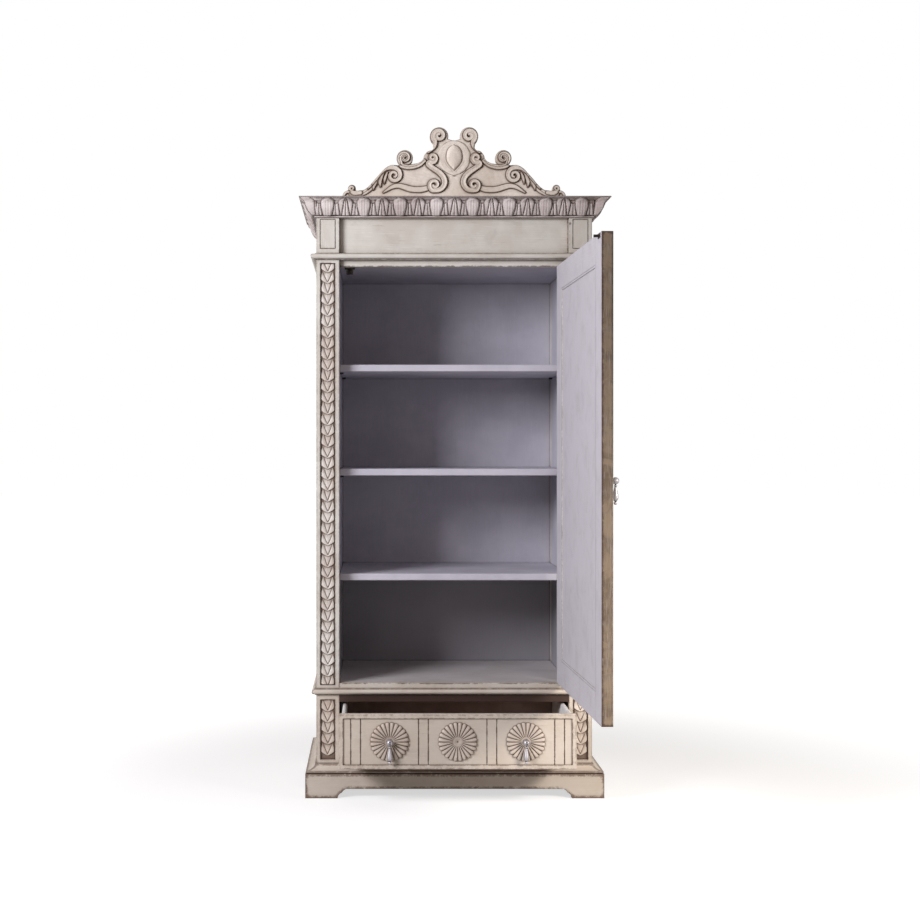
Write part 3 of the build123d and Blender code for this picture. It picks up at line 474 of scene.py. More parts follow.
        # Below the given height the board is painted dark brown, a painted shade.
        if self.shaded_below > 0:
            edge = (self.shaded_below, self.shaded_below - 1.5 * MM)
            layers.append((add_node(tree, "MapRange", (marks.height, *edge), SMOOTH), PAINTED_SHADE_BROWN))
        colour = self.coat_colour(tree, marks)
        for amount, tone in layers:
            parts = {AMOUNT: amount, UNDER: colour, OVER: linear(tone)}
            colour = add_node(tree, "Mix", parts, COLOURS, MIXED)

        rounded = add_node(tree, "Bevel", (self.arris_mm * MM,), {"samples": 6})
        ridges = {"Strength": STROKE_STRENGTH, "Distance": STROKE_HEIGHT_MM * MM,
                  "Height": marks.strokes, "Normal": rounded}
        sheen = (marks.strokes, *SHEEN, self.waxed - SMOOTHER, self.waxed + ROUGHER)
        shader = add_node(tree, "BsdfPrincipled", {
            "Base Color": colour,
            "Roughness": add_node(tree, "MapRange", sheen, SMOOTH),
            "Normal": add_node(tree, "Bump", ridges),
            "Specular IOR Level": CHALKY_SPECULAR,
        })
        add_node(tree, "OutputMaterial", (shader,))
        return material


# Where oxide and tarnish start and are full on their own textures, and how dark the tarnish gets.
OXIDE = (0.75, 0.2)
TARNISH = (0.5, 0.85, 0.0, 0.35)
# The tarnish's texture from bright to dull metal, and how much rougher the dull metal is.
DULLED = (0.3, 0.8)
DULLER = 0.2


@dataclass(frozen=True)
class CastPewter:
    """Cast pewter, tumbled bright, with dark oxide left in its turnings.

    Pewter is soft and slightly warm grey. Tumbling gives it a broad soft shine, and the oxide
    that stays in the hollows draws each ring with a dark line.

    Attributes:
        name: The finish's name.
        metal: The colour of the bright metal.
        oxide: The colour of the oxide.
        mottle_mm: The width of a patch of tarnish.
        hollow_mm: How far the oxide reaches out of a hollow.
        shine: The roughness of the bright metal.
    """

    name: str = "cast_pewter"
    metal: str = "#a9a5a8"
    oxide: str = "#3f3a38"
    mottle_mm: float = 3.0
    hollow_mm: float = 2.0
    shine: float = 0.42

    def build(self) -> bpy.types.Material:
        """Make the finish's material.

        Returns:
            The material.
        """
        material, tree = new_material(self.name)
        place = add_node(tree, "TexCoord", output="Object")
        mottle = add_node(
            tree, "TexNoise", {"Vector": place, "Scale": per_metre(self.mottle_mm), "Detail": 4.0}
        )
        hollow = add_node(
            tree, "AmbientOcclusion", {"Distance": self.hollow_mm * MM}, {"samples": 8}, "AO"
        )
        left = add_node(tree, "MapRange", (hollow, *OXIDE), SMOOTH)
        turned = add_node(tree, "Attribute", settings={"attribute_name": "glaze"}, output="Fac")
        tarnish = add_node(tree, "MapRange", (mottle, *TARNISH), SMOOTH)
        dull = add_node(tree, "Math", (left, turned), LARGER)
        dull = add_node(tree, "Math", (dull, tarnish), LARGER)
        tones = {AMOUNT: dull, UNDER: linear(self.metal), OVER: linear(self.oxide)}
        shader = add_node(tree, "BsdfPrincipled", {
            "Base Color": add_node(tree, "Mix", tones, COLOURS, MIXED),
            "Roughness": add_node(
                tree, "MapRange", (mottle, *DULLED, self.shine, self.shine + DULLER), SMOOTH
            ),
            "Metallic": 1.0,
        })
        add_node(tree, "OutputMaterial", (shader,))
        return material


# How far a surface has to turn at an edge, and how gritty it has to be, for the lacquer to be thin.
TURNED_EDGE = (0.98, 0.85)
GRITTY = (0.35, 0.6)
# The grit from its smooth to its rough places, and the sheen there.
GRIT_SHEEN = (0.3, 0.7, 0.38, 0.55)
# How high the grit stands and how strongly it shows.
GRIT_HEIGHT_MM, GRIT_STRENGTH = 0.1, 0.2


@dataclass(frozen=True)
class BronzedIron:
    """Stamped iron under a dull bronze-brown lacquer.

    The lacquer is almost black, and thin enough on the edges for brown metal to show.

    Attributes:
        name: The finish's name.
        lacquer: The lacquer's colour.
        edge: The colour that shows through on the edges.
        edge_mm: The rounding of the stamped edges.
        metallic: How far the metal shines through the thin lacquer, from 0 to 1.
        grit_mm: The width of the lacquer's grit.
    """

    name: str = "bronzed_iron"
    lacquer: str = "#2b2622"
    edge: str = "#6b5a45"
    edge_mm: float = 0.6
    metallic: float = 0.75
    grit_mm: float = 1.2

    def build(self) -> bpy.types.Material:
        """Make the finish's material.

        Returns:
            The material.
        """
        material, tree = new_material(self.name)
        place = add_node(tree, "TexCoord", output="Object")
        grit = add_node(
            tree, "TexNoise", {"Vector": place, "Scale": per_metre(self.grit_mm), "Detail": 3.0}
        )
        rounded = add_node(tree, "Bevel", (self.edge_mm * MM,), {"samples": 4})
        flat = add_node(tree, "NewGeometry", output="Normal")
        turn = add_node(tree, "VectorMath", (rounded, flat), {"operation": "DOT_PRODUCT"}, "Value")
        edges = add_node(tree, "MapRange", (turn, *TURNED_EDGE), SMOOTH)
        gritty = add_node(tree, "MapRange", (grit, *GRITTY), SMOOTH)
        worn = add_node(tree, "Math", (edges, gritty), TIMES)
        tones = {AMOUNT: worn, UNDER: linear(self.lacquer), OVER: linear(self.edge)}
        bumps = {"Strength": GRIT_STRENGTH, "Distance": GRIT_HEIGHT_MM * MM, "Height": grit,
                 "Normal": rounded}
        shader = add_node(tree, "BsdfPrincipled", {
            "Base Color": add_node(tree, "Mix", tones, COLOURS, MIXED),
            "Roughness": add_node(tree, "MapRange", (grit, *GRIT_SHEEN), SMOOTH),
            "Normal": add_node(tree, "Bump", bumps),
            "Metallic": self.metallic,
        })
        add_node(tree, "OutputMaterial", (shader,))
        return material


Finish = GlazedMilkPaint | CastPewter | BronzedIron

# Cream milk paint, brushed along each board: a warm chalky white that is brown at the arrises.
CREAM = dict(paint="#d7d3cb", shade="#cac3b9")
CREAM_UPRIGHT = GlazedMilkPaint("cream_milk_paint_upright", rubbed=0.35, **CREAM)
CREAM_ACROSS = GlazedMilkPaint("cream_milk_paint_across", grain=Grain.ACROSS, **CREAM)
CREAM_DEEP = GlazedMilkPaint("cream_milk_paint_deep", grain=Grain.DEEP, **CREAM)
# The rail's strip under the waist moulding is painted dark brown, a painted shadow of the moulding.
CREAM_RAIL = GlazedMilkPaint(
    "cream_milk_paint_on_shaded_rail", grain=Grain.ACROSS, shaded_below=0.3238, **CREAM
)
# The top face of the drawer's front takes a brighter coat, a painted highlight of the light from
# above.
CREAM_DRAWER = GlazedMilkPaint(
    "cream_milk_paint_drawer", grain=Grain.ACROSS, wear_mm=9.0, rubbed=0.62,
    coats=(FacingCoat((0.0, 0.0, 1.0), "#f3ede5", "#e6dfd6"),), **CREAM,
)
# Thin mouldings are worn on their narrow edges only, or they would turn all brown.
MOULDED = dict(CREAM, wear_mm=4.0, rubbed=0.62)
MOULDED_ACROSS = GlazedMilkPaint("cream_milk_paint_moulded_across", grain=Grain.ACROSS, **MOULDED)
MOULDED_DEEP = GlazedMilkPaint("cream_milk_paint_moulded_deep", grain=Grain.DEEP, **MOULDED)
# Carving has its glaze in every cut, partly painted shade, which draws the leaves, and little wear
# on its small edges.
CARVED = dict(arris_mm=0.6, wear_mm=3.0, rubbed=0.45, scratched=0.0, knotted=0.0, glazed=1.0)
CREAM_CARVED = GlazedMilkPaint(
    "cream_milk_paint_carved", paint="#e0d9d1", shade="#c9bdb3", corner_mm=3.0, shade_wash_mm=9.0, **CARVED
)
# The crest is the whitest piece, high up where no hand reaches, and its painted shade round the
# hollows lies broad and soft.
CREAM_CREST = GlazedMilkPaint(
    "cream_milk_paint_crest", paint="#ece2d6", shade="#d5c7b8", grain=Grain.ACROSS, corner_mm=3.5,
    shade_wash_mm=14.0, **CARVED,
)
# The cornice was painted greyer, with more of the glaze wiped over its leaves.
LILAC_CARVED = GlazedMilkPaint(
    "lilac_grey_milk_paint_carved", paint="#e4dad6", shade="#beb1ad", glaze="#43352f",
    grain=Grain.ACROSS, corner_mm=3.0, shade_wash_mm=9.0, **CARVED,
)
# The inside has one flat coat of lavender grey with hardly any glaze.
LAVENDER = dict(
    paint="#c6c3cc", shade="#bab7c1", glaze="#4a4650", ground="#857d7a", bloom="#c9c7d0",
    glazed=0.45, rubbed=0.2, age_and_shade=0.0, wear_mm=3.0, scratched=0.1, knotted=0.0,
    stained=0.05, corner_mm=9.0, waxed=0.6, shade_washed=0.0,
)
LAVENDER_ACROSS = GlazedMilkPaint("lavender_milk_paint_across", grain=Grain.ACROSS, **LAVENDER)
# The cupboard's floor has lost its blue under what stood on it.
LAVENDER_FLOOR = GlazedMilkPaint(
    "lavender_milk_paint_floor", grain=Grain.ACROSS, **dict(LAVENDER, paint="#c4bfbf", shade="#b8b2b0")
)
# The walls and the ceiling take a darker copy of the lavender than the shelves, a painted shade
# for the inside of the cupboard, and are darker still in the lowest bay, painted shade too.
LAVENDER_DIM = dict(
    LAVENDER, paint="#b4b1ba", shade="#a9a6b0", bloom="#b7b5be", age_and_shade=1.0, age_and_shade_between=(0.7, 0.66),
    age_and_shade_tone="#7a777b",
)
LAVENDER_UPRIGHT = GlazedMilkPaint("lavender_milk_paint_upright", **LAVENDER_DIM)
LAVENDER_CEILING = GlazedMilkPaint("lavender_milk_paint_ceiling", grain=Grain.ACROSS, **LAVENDER_DIM)
# The back panel is painted inside only, and its back is bare pine gone brown. The painted shade
# of the lowest bay lies on both of its faces, so the bare back turns grey at that height too.
LAVENDER_BACK = GlazedMilkPaint(
    "lavender_milk_paint_with_bare_back", coats=(FacingCoat((0.0, 1.0, 0.0), "#9d8468", "#84694f"),),
    **LAVENDER_DIM,
)
# The door is cream outside, lavender grey inside, and brown where its free edge is worn.
DOOR_INSIDE = FacingCoat((-0.99939, -0.0349, 0.0), "#bfbbc2", "#bab6bd", keeps=0.85)
DOOR_EDGE = FacingCoat((0.0349, -0.99939, 0.0), "#8a7864", "#6a5947")
DOOR = dict(
    CREAM, coats=(DOOR_INSIDE,), ground="#46342a", bloom="#cfccd2", wear_mm=4.0, rubbed=0.4,
    stained=0.1, age_and_shade=0.0, scratched=0.15, knotted=0.0, glazed=0.28, corner_mm=3.0, shade_washed=0.1,
)
DOOR_UPRIGHT = GlazedMilkPaint("door_milk_paint_upright", **DOOR)
DOOR_RAIL = GlazedMilkPaint("door_milk_paint_rail", grain=Grain.DEEP, **DOOR)
# Hands take hold of the free stile, so its arrises are broad brown lines.
HANDLED_DOOR = dict(DOOR, coats=(DOOR_INSIDE, DOOR_EDGE), wear_mm=11.0, rubbed=0.95, chipped=0.3)
DOOR_FREE = GlazedMilkPaint("door_milk_paint_free_edge", **HANDLED_DOOR)
# The drawer's sides have a thin off-white coat, cleaner than the rest because they are hidden.
OFF_WHITE = GlazedMilkPaint(
    "off_white_drawer_paint", paint="#eceae8", shade="#dedbd8", glazed=0.5, rubbed=0.15,
    stained=0.05, age_and_shade=0.0, wear_mm=3.0, scratched=0.0, knotted=0.0, grain=Grain.DEEP,
)
# Planed pine with a dark water stain and no paint, dull and uneven.
DARK_PINE = GlazedMilkPaint(
    "dark_stained_pine", paint="#a68f84", shade="#907a70", glaze="#2a1e18", ground="#54402f",
    bloom="#8a6f62", glazed=0.6, age_and_shade=0.0, shade_washed=0.0, rubbed=0.2, stained=0.2, waxed=0.65,
    grain=Grain.ACROSS,
)
# Bright soft metal with dark turnings, and nearly black iron with brown edges.
PEWTER = CastPewter()
IRON = BronzedIron()


@dataclass
class FinishRack:
    """The finished materials, each made once and shared by its pieces.

    Attributes:
        made: The materials by the name of their finish.
    """

    made: dict[str, bpy.types.Material] = field(default_factory=dict)

    def take(self, finish: Finish) -> bpy.types.Material:
        """Give a finish's material, and make it the first time."""
        if finish.name not in self.made:
            self.made[finish.name] = finish.build()
        return self.made[finish.name]


# ---------------------------------------------------------------- mesh building


# The angle in degrees from which an arris stays sharp to the light.
SHARP_DEG = 50


@dataclass
class Surface:
    """A mesh in the making: its corners, its faces and the glaze on each corner.

    Attributes:
        corners: Places in metres, one row each.
        faces: Corner numbers, four to a row.
        glaze: The glaze on each corner, with any painted shade, from 0 to 1.
    """

    corners: np.ndarray
    faces: np.ndarray
    glaze: np.ndarray

    @classmethod
    def from_lattice(
        cls, points: np.ndarray, glaze: np.ndarray | None = None, closed: bool = False,
        flipped: bool = False,
    ) -> Surface:
        """Make a surface from a lattice of points.

        Args:
            points: Rows by columns by three, in metres.
            glaze: Rows by columns, from 0 to 1.
            closed: Whether the last column joins the first.
            flipped: Whether the faces look the other way.

        Returns:
            The surface.
        """
        rows, columns = points.shape[:2]
        numbers = np.arange(rows * columns).reshape(rows, columns)
        if closed:
            numbers = np.concatenate([numbers, numbers[:, :1]], axis=1)
        quads = np.stack(
            [numbers[:-1, :-1], numbers[:-1, 1:], numbers[1:, 1:], numbers[1:, :-1]], axis=-1
        ).reshape(-1, 4)
        if flipped:
            quads = quads[:, ::-1]
        tones = np.zeros(rows * columns) if glaze is None else glaze.reshape(-1)
        return cls(points.reshape(-1, 3), quads, tones)

    @classmethod
    def joined(cls, surfaces: Sequence[Surface]) -> Surface:
        """Put several surfaces into one mesh.

        Args:
            surfaces: The surfaces to put together.

        Returns:
            One surface that holds them all.
        """
        starts = np.cumsum([0] + [len(s.corners) for s in surfaces[:-1]])
        return cls(
            np.concatenate([s.corners for s in surfaces]),
            np.concatenate([s.faces + start for s, start in zip(surfaces, starts)]),
            np.concatenate([s.glaze for s in surfaces]),
        )

    def to_object(
        self, name: str, material: bpy.types.Material, filled: bool = False
    ) -> bpy.types.Object:
        """Make the Blender object.

        Args:
            name: The object's name.
            material: Its finish.
            filled: Whether the open ends and the back are closed by flat faces.

        Returns:
            The object, linked to the scene and shaded smooth.
        """
        mesh = bpy.data.meshes.new(name)
        mesh.vertices.add(len(self.corners))
        mesh.vertices.foreach_set("co", self.corners.astype(np.float32).reshape(-1))
        mesh.loops.add(self.faces.size)
        mesh.loops.foreach_set("vertex_index", self.faces.astype(np.int32).reshape(-1))
        mesh.polygons.add(len(self.faces))
        mesh.polygons.foreach_set("loop_start", np.arange(0, self.faces.size, 4, dtype=np.int32))
        mesh.update(calc_edges=True)
        tones = mesh.attributes.new("glaze", "FLOAT", "POINT")
        tones.data.foreach_set("value", np.clip(self.glaze, 0, 1).astype(np.float32))
        if filled:
            shell = bmesh.new()
            shell.from_mesh(mesh)
            bmesh.ops.holes_fill(shell, edges=[e for e in shell.edges if e.is_boundary], sides=0)
            bmesh.ops.recalc_face_normals(shell, faces=shell.faces)
            shell.to_mesh(mesh)
            shell.free()
        mesh.validate()
        mesh.polygons.foreach_set("use_smooth", np.ones(len(mesh.polygons), dtype=bool))
        mesh.set_sharp_from_angle(angle=math.radians(SHARP_DEG))
        mesh.materials.append(material)
        made = bpy.data.objects.new(name, mesh)
        bpy.context.scene.collection.objects.link(made)
        return made


def smooth_step(value: np.ndarray, low: float, high: float) -> np.ndarray:
    """Rise smoothly from 0 at low to 1 at high."""
    share = np.clip((value - low) / (high - low), 0, 1)
    return share * share * (3 - 2 * share)


def soft_line(distance: np.ndarray, width: float) -> np.ndarray:
    """Draw a soft dark line where a distance is near 0."""
    return np.exp(-((distance / width) ** 2))


def round_over(distance: np.ndarray, reach: float, top: float) -> np.ndarray:
    """Rise from 0 at an edge as a quarter round, and stay level beyond its reach."""
    return top * np.sqrt(np.clip(1 - (1 - np.clip(distance / reach, 0, 1)) ** 2, 0, 1))


def chisel_marks(x: np.ndarray, z: np.ndarray, size_mm: float, depth_mm: float) -> np.ndarray:
    """Give the small uneven waves that a hand tool leaves.

    Args:
        x: Places across, in millimetres.
        z: Places up, in millimetres.
        size_mm: The width of a wave.
        depth_mm: The height of a wave.

    Returns:
        The height in millimetres at each place.
    """
    turn = 2 * math.pi / size_mm
    waves = (
        np.sin(turn * (0.9 * x + 0.4 * z) + 1.3)
        + np.sin(turn * (1.7 * z - 0.5 * x) + 0.4)
        + 0.6 * np.sin(turn * (2.6 * x + 1.9 * z) + 2.1)
    )
    return depth_mm * waves / 2.6


def smooth_path(points: Sequence[tuple[float, ...]], step: float) -> np.ndarray:
    """Draw a smooth curve through points.

    Args:
        points: The points, each with as many numbers as it needs.
        step: The distance between the curve's own points.

    Returns:
        The curve's points, one row each.
    """
    given = np.array(points, float)
    padded = np.concatenate([2 * given[:1] - given[1:2], given, 2 * given[-1:] - given[-2:-1]])
    pieces = []
    for p0, p1, p2, p3 in zip(padded[:-3], padded[1:-2], padded[2:-1], padded[3:]):
        count = max(2, int(np.hypot(*(p2 - p1)[:2]) / step))
        t = np.linspace(0, 1, count, endpoint=False)[:, None]
        pieces.append(
            0.5 * (2 * p1 + (p2 - p0) * t + (2 * p0 - 5 * p1 + 4 * p2 - p3) * t**2
                   + (3 * p1 - p0 - 3 * p2 + p3) * t**3)
        )
    return np.concatenate(pieces + [given[-1:]])


@dataclass
class Relief:
    """Carving on a flat board, with every length in millimetres.

    Attributes:
        x: Places across.
        z: Places up.
        height: The height over the ground at each place.
        glaze: The glaze there, with any painted shade, from 0 to 1.
    """

    x: np.ndarray
    z: np.ndarray
    height: np.ndarray
    glaze: np.ndarray

    def cover(self, where: np.ndarray, height: np.ndarray, glaze: np.ndarray | float = 0.0) -> None:
        """Lay a form over some of the places, with its own height and glaze."""
        self.height = np.where(where, height, self.height)
        self.glaze = np.where(where, glaze, self.glaze)

    def draw_line(
        self, strength: np.ndarray | float, distance: np.ndarray, width: np.ndarray | float,
        where: np.ndarray | bool = True,
    ) -> None:
        """Let a soft dark line settle where a distance is near 0; it draws glaze and painted shade alike.

        Args:
            strength: How dark the line is, from 0 to 1.
            distance: The distance of each place from the line.
            width: The line's half width.
            where: How far each place takes the line.
        """
        self.glaze = np.maximum(self.glaze, strength * soft_line(distance, width) * where)


# ---------------------------------------------------------------- crest


@dataclass(frozen=True)
class Ribbon:
    """A carved band along a curve.

    Attributes:
        points: The curve's points: across, up and the band's half width, in millimetres.
        height: The band's height over the ground, in millimetres.
        hollow: How far the middle sinks between raised edges, from 0 to 1.
        veins: Cuts along the band, each as a share of the half width.
    """

    points: tuple[tuple[float, float, float], ...]
    height: float = 6.5
    hollow: float = 0.25
    veins: tuple[float, ...] = ()


def scroll(
    centre: tuple[float, float], outer: float, inner: float, start_deg: float, turns: float,
    width: float, end_width: float,
) -> tuple[tuple[float, float, float], ...]:
    """Draw the winding end of a ribbon, from the outside in.

    Args:
        centre: The eye, across and up.
        outer: The radius of the band's middle at the start.
        inner: The radius of the band's middle at the eye.
        start_deg: The direction of the start, seen from the eye.
        turns: How far it winds, anticlockwise, or clockwise if negative.
        width: The band's half width at the start.
        end_width: The band's half width at the eye.

    Returns:
        The points of the band.
    """
    count = max(6, int(abs(turns) * 14))
    made = []
    for i in range(count + 1):
        share = i / count
        angle = math.radians(start_deg) + share * turns * 2 * math.pi
        radius = outer + (inner - outer) * share**0.8
        made.append(
            (
                centre[0] + radius * math.cos(angle),
                centre[1] + radius * math.sin(angle),
                width + (end_width - width) * share,
            )
        )
    return tuple(made)


@dataclass
class Crest:
    """The scrolled board on top of the cornice, carved from one plank.

    Attributes:
        material: Its finish.
        node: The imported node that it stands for.
        cell: The width of a cell of the carving, in millimetres.
        rounding: The rounding of the sawn outline, in millimetres.
        outline: The right half of the sawn outline: across and up, in millimetres.
        volutes: The round ends on the outline: across, up and radius, in millimetres.
        shield: The cushion behind the boss: up and half its width there, in millimetres.
        cabochon: How far up the boss's middle is, in millimetres.
        thickness: The thickness of the plank's ground, in millimetres.
        half_width: The width of half the plank, in millimetres.
        top: The plank's height, in millimetres.
        spill: How many cells past the outline are drawn back to it.
        cushion: The height of the cushion over the ground, in millimetres.
        boss: Half the width and half the height of the boss, in millimetres.
        boss_height: The height of the boss over the cushion, in millimetres.
        band_step: The distance between the points that a band is measured from.
        band_margin: How far round a band its carving and its glaze can reach.
        vein_depth: The depth of a cut along a band.
    """

    material: bpy.types.Material
    node: str = "crest"
    cell: float = 1.25
    rounding: float = 3.5
    outline: tuple[tuple[float, float], ...] = (
        (-5, -5), (357, -5), (357.5, 10), (353, 20), (342, 27), (330, 30), (316, 27), (300, 27),
        (289, 28.5), (278, 36), (267, 46), (253, 63), (244, 73), (236, 82), (228, 91), (216, 101),
        (203, 107), (192, 109), (178, 108), (160, 108), (146, 108), (133, 112), (116, 115),
        (104, 121), (97, 131), (90, 143), (80, 150), (71, 155), (65, 163), (67, 173), (60, 184),
        (40, 190), (19, 192), (10, 188.5), (-5, 187),
    )
    volutes: tuple[tuple[float, float, float], ...] = (
        (327.5, 33, 12.5), (158, 130.6, 26), (73, 129, 25), (48, 200.5, 29.5),
    )
    shield: tuple[tuple[float, float], ...] = (
        (73, -4), (75, 4), (80, 19), (90, 35), (105, 46), (131, 54), (150, 51), (165, 43), (176, 32),
        (182, 21), (185, 8), (186, -4),
    )
    cabochon: float = 131.0
    thickness: float = 22.0
    half_width: float = 360.0
    top: float = 232.0
    spill: float = 1.2
    cushion: float = 3.2
    boss: tuple[float, float] = (25.5, 40.0)
    boss_height: float = 7.0
    band_step: float = 1.5
    band_margin: float = 24.0
    vein_depth: float = 1.8

    def ribbons(self) -> tuple[Ribbon, ...]:
        """List the bands of the right half, from the lowest layer to the highest."""
        tail = Ribbon(
            ((206, 112, 8), (222, 97, 11), (238, 78, 13), (254, 56, 14), (272, 36, 13),
             (292, 21, 11), (312, 15, 9), (330, 16, 8)),
            height=4.5, hollow=0.1, veins=(-0.3, 0.35),
        )
        fingers = (
            Ribbon(((222, 92, 4), (232, 74, 6.5), (237, 54, 6), (236, 38, 2)), height=6.0, hollow=0.1),
            Ribbon(((236, 82, 4), (248, 60, 6), (256, 42, 5.5), (259, 28, 2)), height=6.4, hollow=0.1),
            Ribbon(((252, 62, 4), (266, 44, 5.5), (276, 30, 2)), height=6.8, hollow=0.1),
            Ribbon(((214, 84, 3), (221, 66, 5), (224, 48, 2)), height=5.0, hollow=0.1),
        )
        lower = Ribbon(
            ((226, 20, 3), (212, 29, 5), (196, 38, 7), (178, 41, 8), (160, 37, 9), (142, 31.5, 9.5),
             (124, 29, 9.5), (104, 29.5, 9.5), (88, 33, 8.5), (78, 37, 7)),
            height=5.0, hollow=0.1,
        )
        tail_curl = Ribbon(
            ((300, 19, 7), (318, 18, 8)) + scroll((327, 32), 9.5, 3.0, -75, 0.95, 6.0, 3.0),
            height=6.0, hollow=0.05,
        )
        tip = Ribbon(((337, 21, 4), (346, 21, 5), (353, 12, 5)), height=5.5, hollow=0.05)
        face = Ribbon(
            ((262, 46, 3), (248, 66, 6), (236, 84, 8), (221, 97, 9), (205, 101, 9.5))
            + scroll((192.6, 74), 24.5, 5.0, 95, 1.45, 8.0, 4.5),
            height=7.0, hollow=0.2,
        )
        outer_run = ((96, 121, 7), (112, 108, 7.5), (132, 102, 8), (150, 101, 8), (168, 106, 8))
        outer = Ribbon(
            outer_run + scroll((158, 130.6), 19.5, 4.0, -40, 1.35, 7.5, 4.5),
            height=7.2, hollow=0.2, veins=(-0.1,),
        )
        neck = Ribbon(
            ((82, 150, 6), (72, 160, 8), (64, 170, 9)) + scroll((48, 201), 22.5, 5.5, -52, 1.4, 8.5, 5.5),
            height=7.4, hollow=0.2,
        )
        main = Ribbon(
            scroll((70, 130), 17.0, 4.0, -55, -1.2, 8.0, 5.0)[::-1]
            + ((82, 108, 8.5), (64, 95, 9), (47, 83, 9.5), (34, 68, 9.5), (30, 52, 9.5), (35, 38, 9),
               (45, 29, 8.5), (57, 26, 8))
            + scroll((63, 44), 19.0, 5.5, -68, 1.1, 7.5, 5.5),
            height=8.5, hollow=0.3,
        )
        return (tail, *fingers[:1], lower, tail_curl, tip, *fingers[1:], face, neck, outer, main)

    def outline_distance(self, x: np.ndarray, z: np.ndarray) -> np.ndarray:
        """Measure how far each place lies outside the sawn outline.

        Args:
            x: Places across, from the middle outwards, in millimetres.
            z: Places up, in millimetres.

        Returns:
            The distance in millimetres, negative inside.
        """
        points = smooth_path(self.outline[1:-1], 4.0)
        points = np.concatenate([[self.outline[0]], points, [self.outline[-1]]])
        distance = np.full(x.shape, 1e9)
        inside = np.zeros(x.shape, bool)
        for (ax, az), (bx, bz) in zip(points, np.roll(points, -1, axis=0)):
            dx, dz = bx - ax, bz - az
            length2 = max(dx * dx + dz * dz, 1e-9)
            t = np.clip(((x - ax) * dx + (z - az) * dz) / length2, 0, 1)
            distance = np.minimum(distance, np.hypot(x - ax - t * dx, z - az - t * dz))
            if az != bz:
                crosses = (az > z) != (bz > z)
                inside ^= crosses & (x < ax + (z - az) * dx / (bz - az))
        signed = np.where(inside, -distance, distance)
        for cx, cz, radius in self.volutes:
            signed = np.minimum(signed, np.hypot(x - cx, z - cz) - radius)
        return signed

    def relief(self, x: np.ndarray, z: np.ndarray) -> Relief:
        """Carve the right half.

        Args:
            x: Places across, from the middle outwards, in millimetres.
            z: Places up, in millimetres.

        Returns:
            The carving.
        """
        carving = self.raise_cartouche(x, z)
        for band in self.ribbons():
            self.lay_band(carving, band)
        self.set_cabochon(carving)
        return carving

    def lay_band(self, carving: Relief, band: Ribbon) -> None:
        """Carve one band over what is there already.

        Args:
            carving: The carving so far, which gets the band.
            band: The band.
        """
        x, z = carving.x, carving.z
        path = smooth_path(band.points, self.band_step)
        heading = np.gradient(path[:, :2], axis=0)
        heading /= np.maximum(np.linalg.norm(heading, axis=1, keepdims=True), 1e-9)
        lows = path[:, :2].min(0) - self.band_margin
        highs = path[:, :2].max(0) + self.band_margin
        near = (x > lows[0]) & (x < highs[0]) & (z > lows[1]) & (z < highs[1])
        px, pz = x[near], z[near]
        best, side, width = np.full(px.shape, 1e9), np.zeros(px.shape), np.ones(px.shape)
        for (cx, cz, w), (hx, hz) in zip(path, heading):
            reach = np.hypot(px - cx, pz - cz)
            closer = reach / w < best
            best = np.where(closer, reach / w, best)
            side = np.where(closer, (px - cx) * hz - (pz - cz) * hx, side)
            width = np.where(closer, w, width)
        # The distance and the side from the band's middle are shares of its half width.
        nearest, offset, half = np.full(x.shape, 1e9), np.zeros(x.shape), np.ones(x.shape)
        nearest[near], offset[near], half[near] = best, side / width, width
        crown = np.sqrt(np.clip(1 - np.clip(nearest, 0, 1) ** 4, 0, 1))
        dish = 1 - band.hollow * np.clip(1 - (nearest / 0.72) ** 2, 0, 1)
        body = band.height * (0.25 + 0.75 * crown) * dish
        covered = nearest < 1
        away = np.clip((nearest - 1.06) * half, -4, None)
        carving.cover(covered, np.maximum(body, 0.35 * carving.height))
        carving.draw_line(1.0, away, 2.4)
        # The broad soft darkening just outside each band is painted shade round its edges.
        carving.draw_line(0.3, away, 6.0, away > 0)
        for vein in band.veins:
            aside = (offset - vein) * half
            carving.height = carving.height - self.vein_depth * soft_line(aside, 1.0) * covered
            carving.draw_line(0.75, aside, 1.0, covered)

    def raise_cartouche(self, x: np.ndarray, z: np.ndarray) -> Relief:
        """Raise the shield-shaped cushion behind the boss.

        Args:
            x: Places across, from the middle outwards, in millimetres.
            z: Places up, in millimetres.

        Returns:
            The carving.
        """
        levels, widths = np.array(self.shield).T
        inside = 0.75 * (np.interp(z, levels, widths, -9.0, -9.0) - x)
        ends = np.maximum(smooth_step(z, 168, 180), smooth_step(z, 104, 86))
        shaded = (0.3 + 0.55 * ends) * soft_line(inside, 1.9)
        carving = Relief(x, z, round_over(inside, 7, self.cushion), shaded)
        carving.draw_line(0.9, np.hypot(x / 2.5, z - 73), 2.2)
        return carving

    def set_cabochon(self, carving: Relief) -> None:
        """Add the pointed oval boss and its border in the middle.

        Args:
            carving: The carving so far, which gets the boss.
        """
        x, z = carving.x, carving.z
        half_width, half_height = self.boss
        up = (z - self.cabochon) / half_height
        round_top = np.sqrt(np.clip(1 - np.abs(up) ** 2.4, 1e-4, 1))
        pointed_foot = np.clip(1 - np.abs(up) ** 1.9, 1e-4, 1)
        across = half_width * np.where(up > 0, round_top, pointed_foot)
        away = np.where(np.abs(up) < 1, x - across, np.hypot(x, half_height * (np.abs(up) - 1)))
        dome = self.cushion + round_over(-away, half_width, self.boss_height)
        carving.cover(away < 0, dome)
        carving.draw_line(0.9, away - 0.8, 1.9)
        carving.draw_line(0.4, away - 8, 1.4, smooth_step(-up, 0.0, 0.5) * (z > 84))

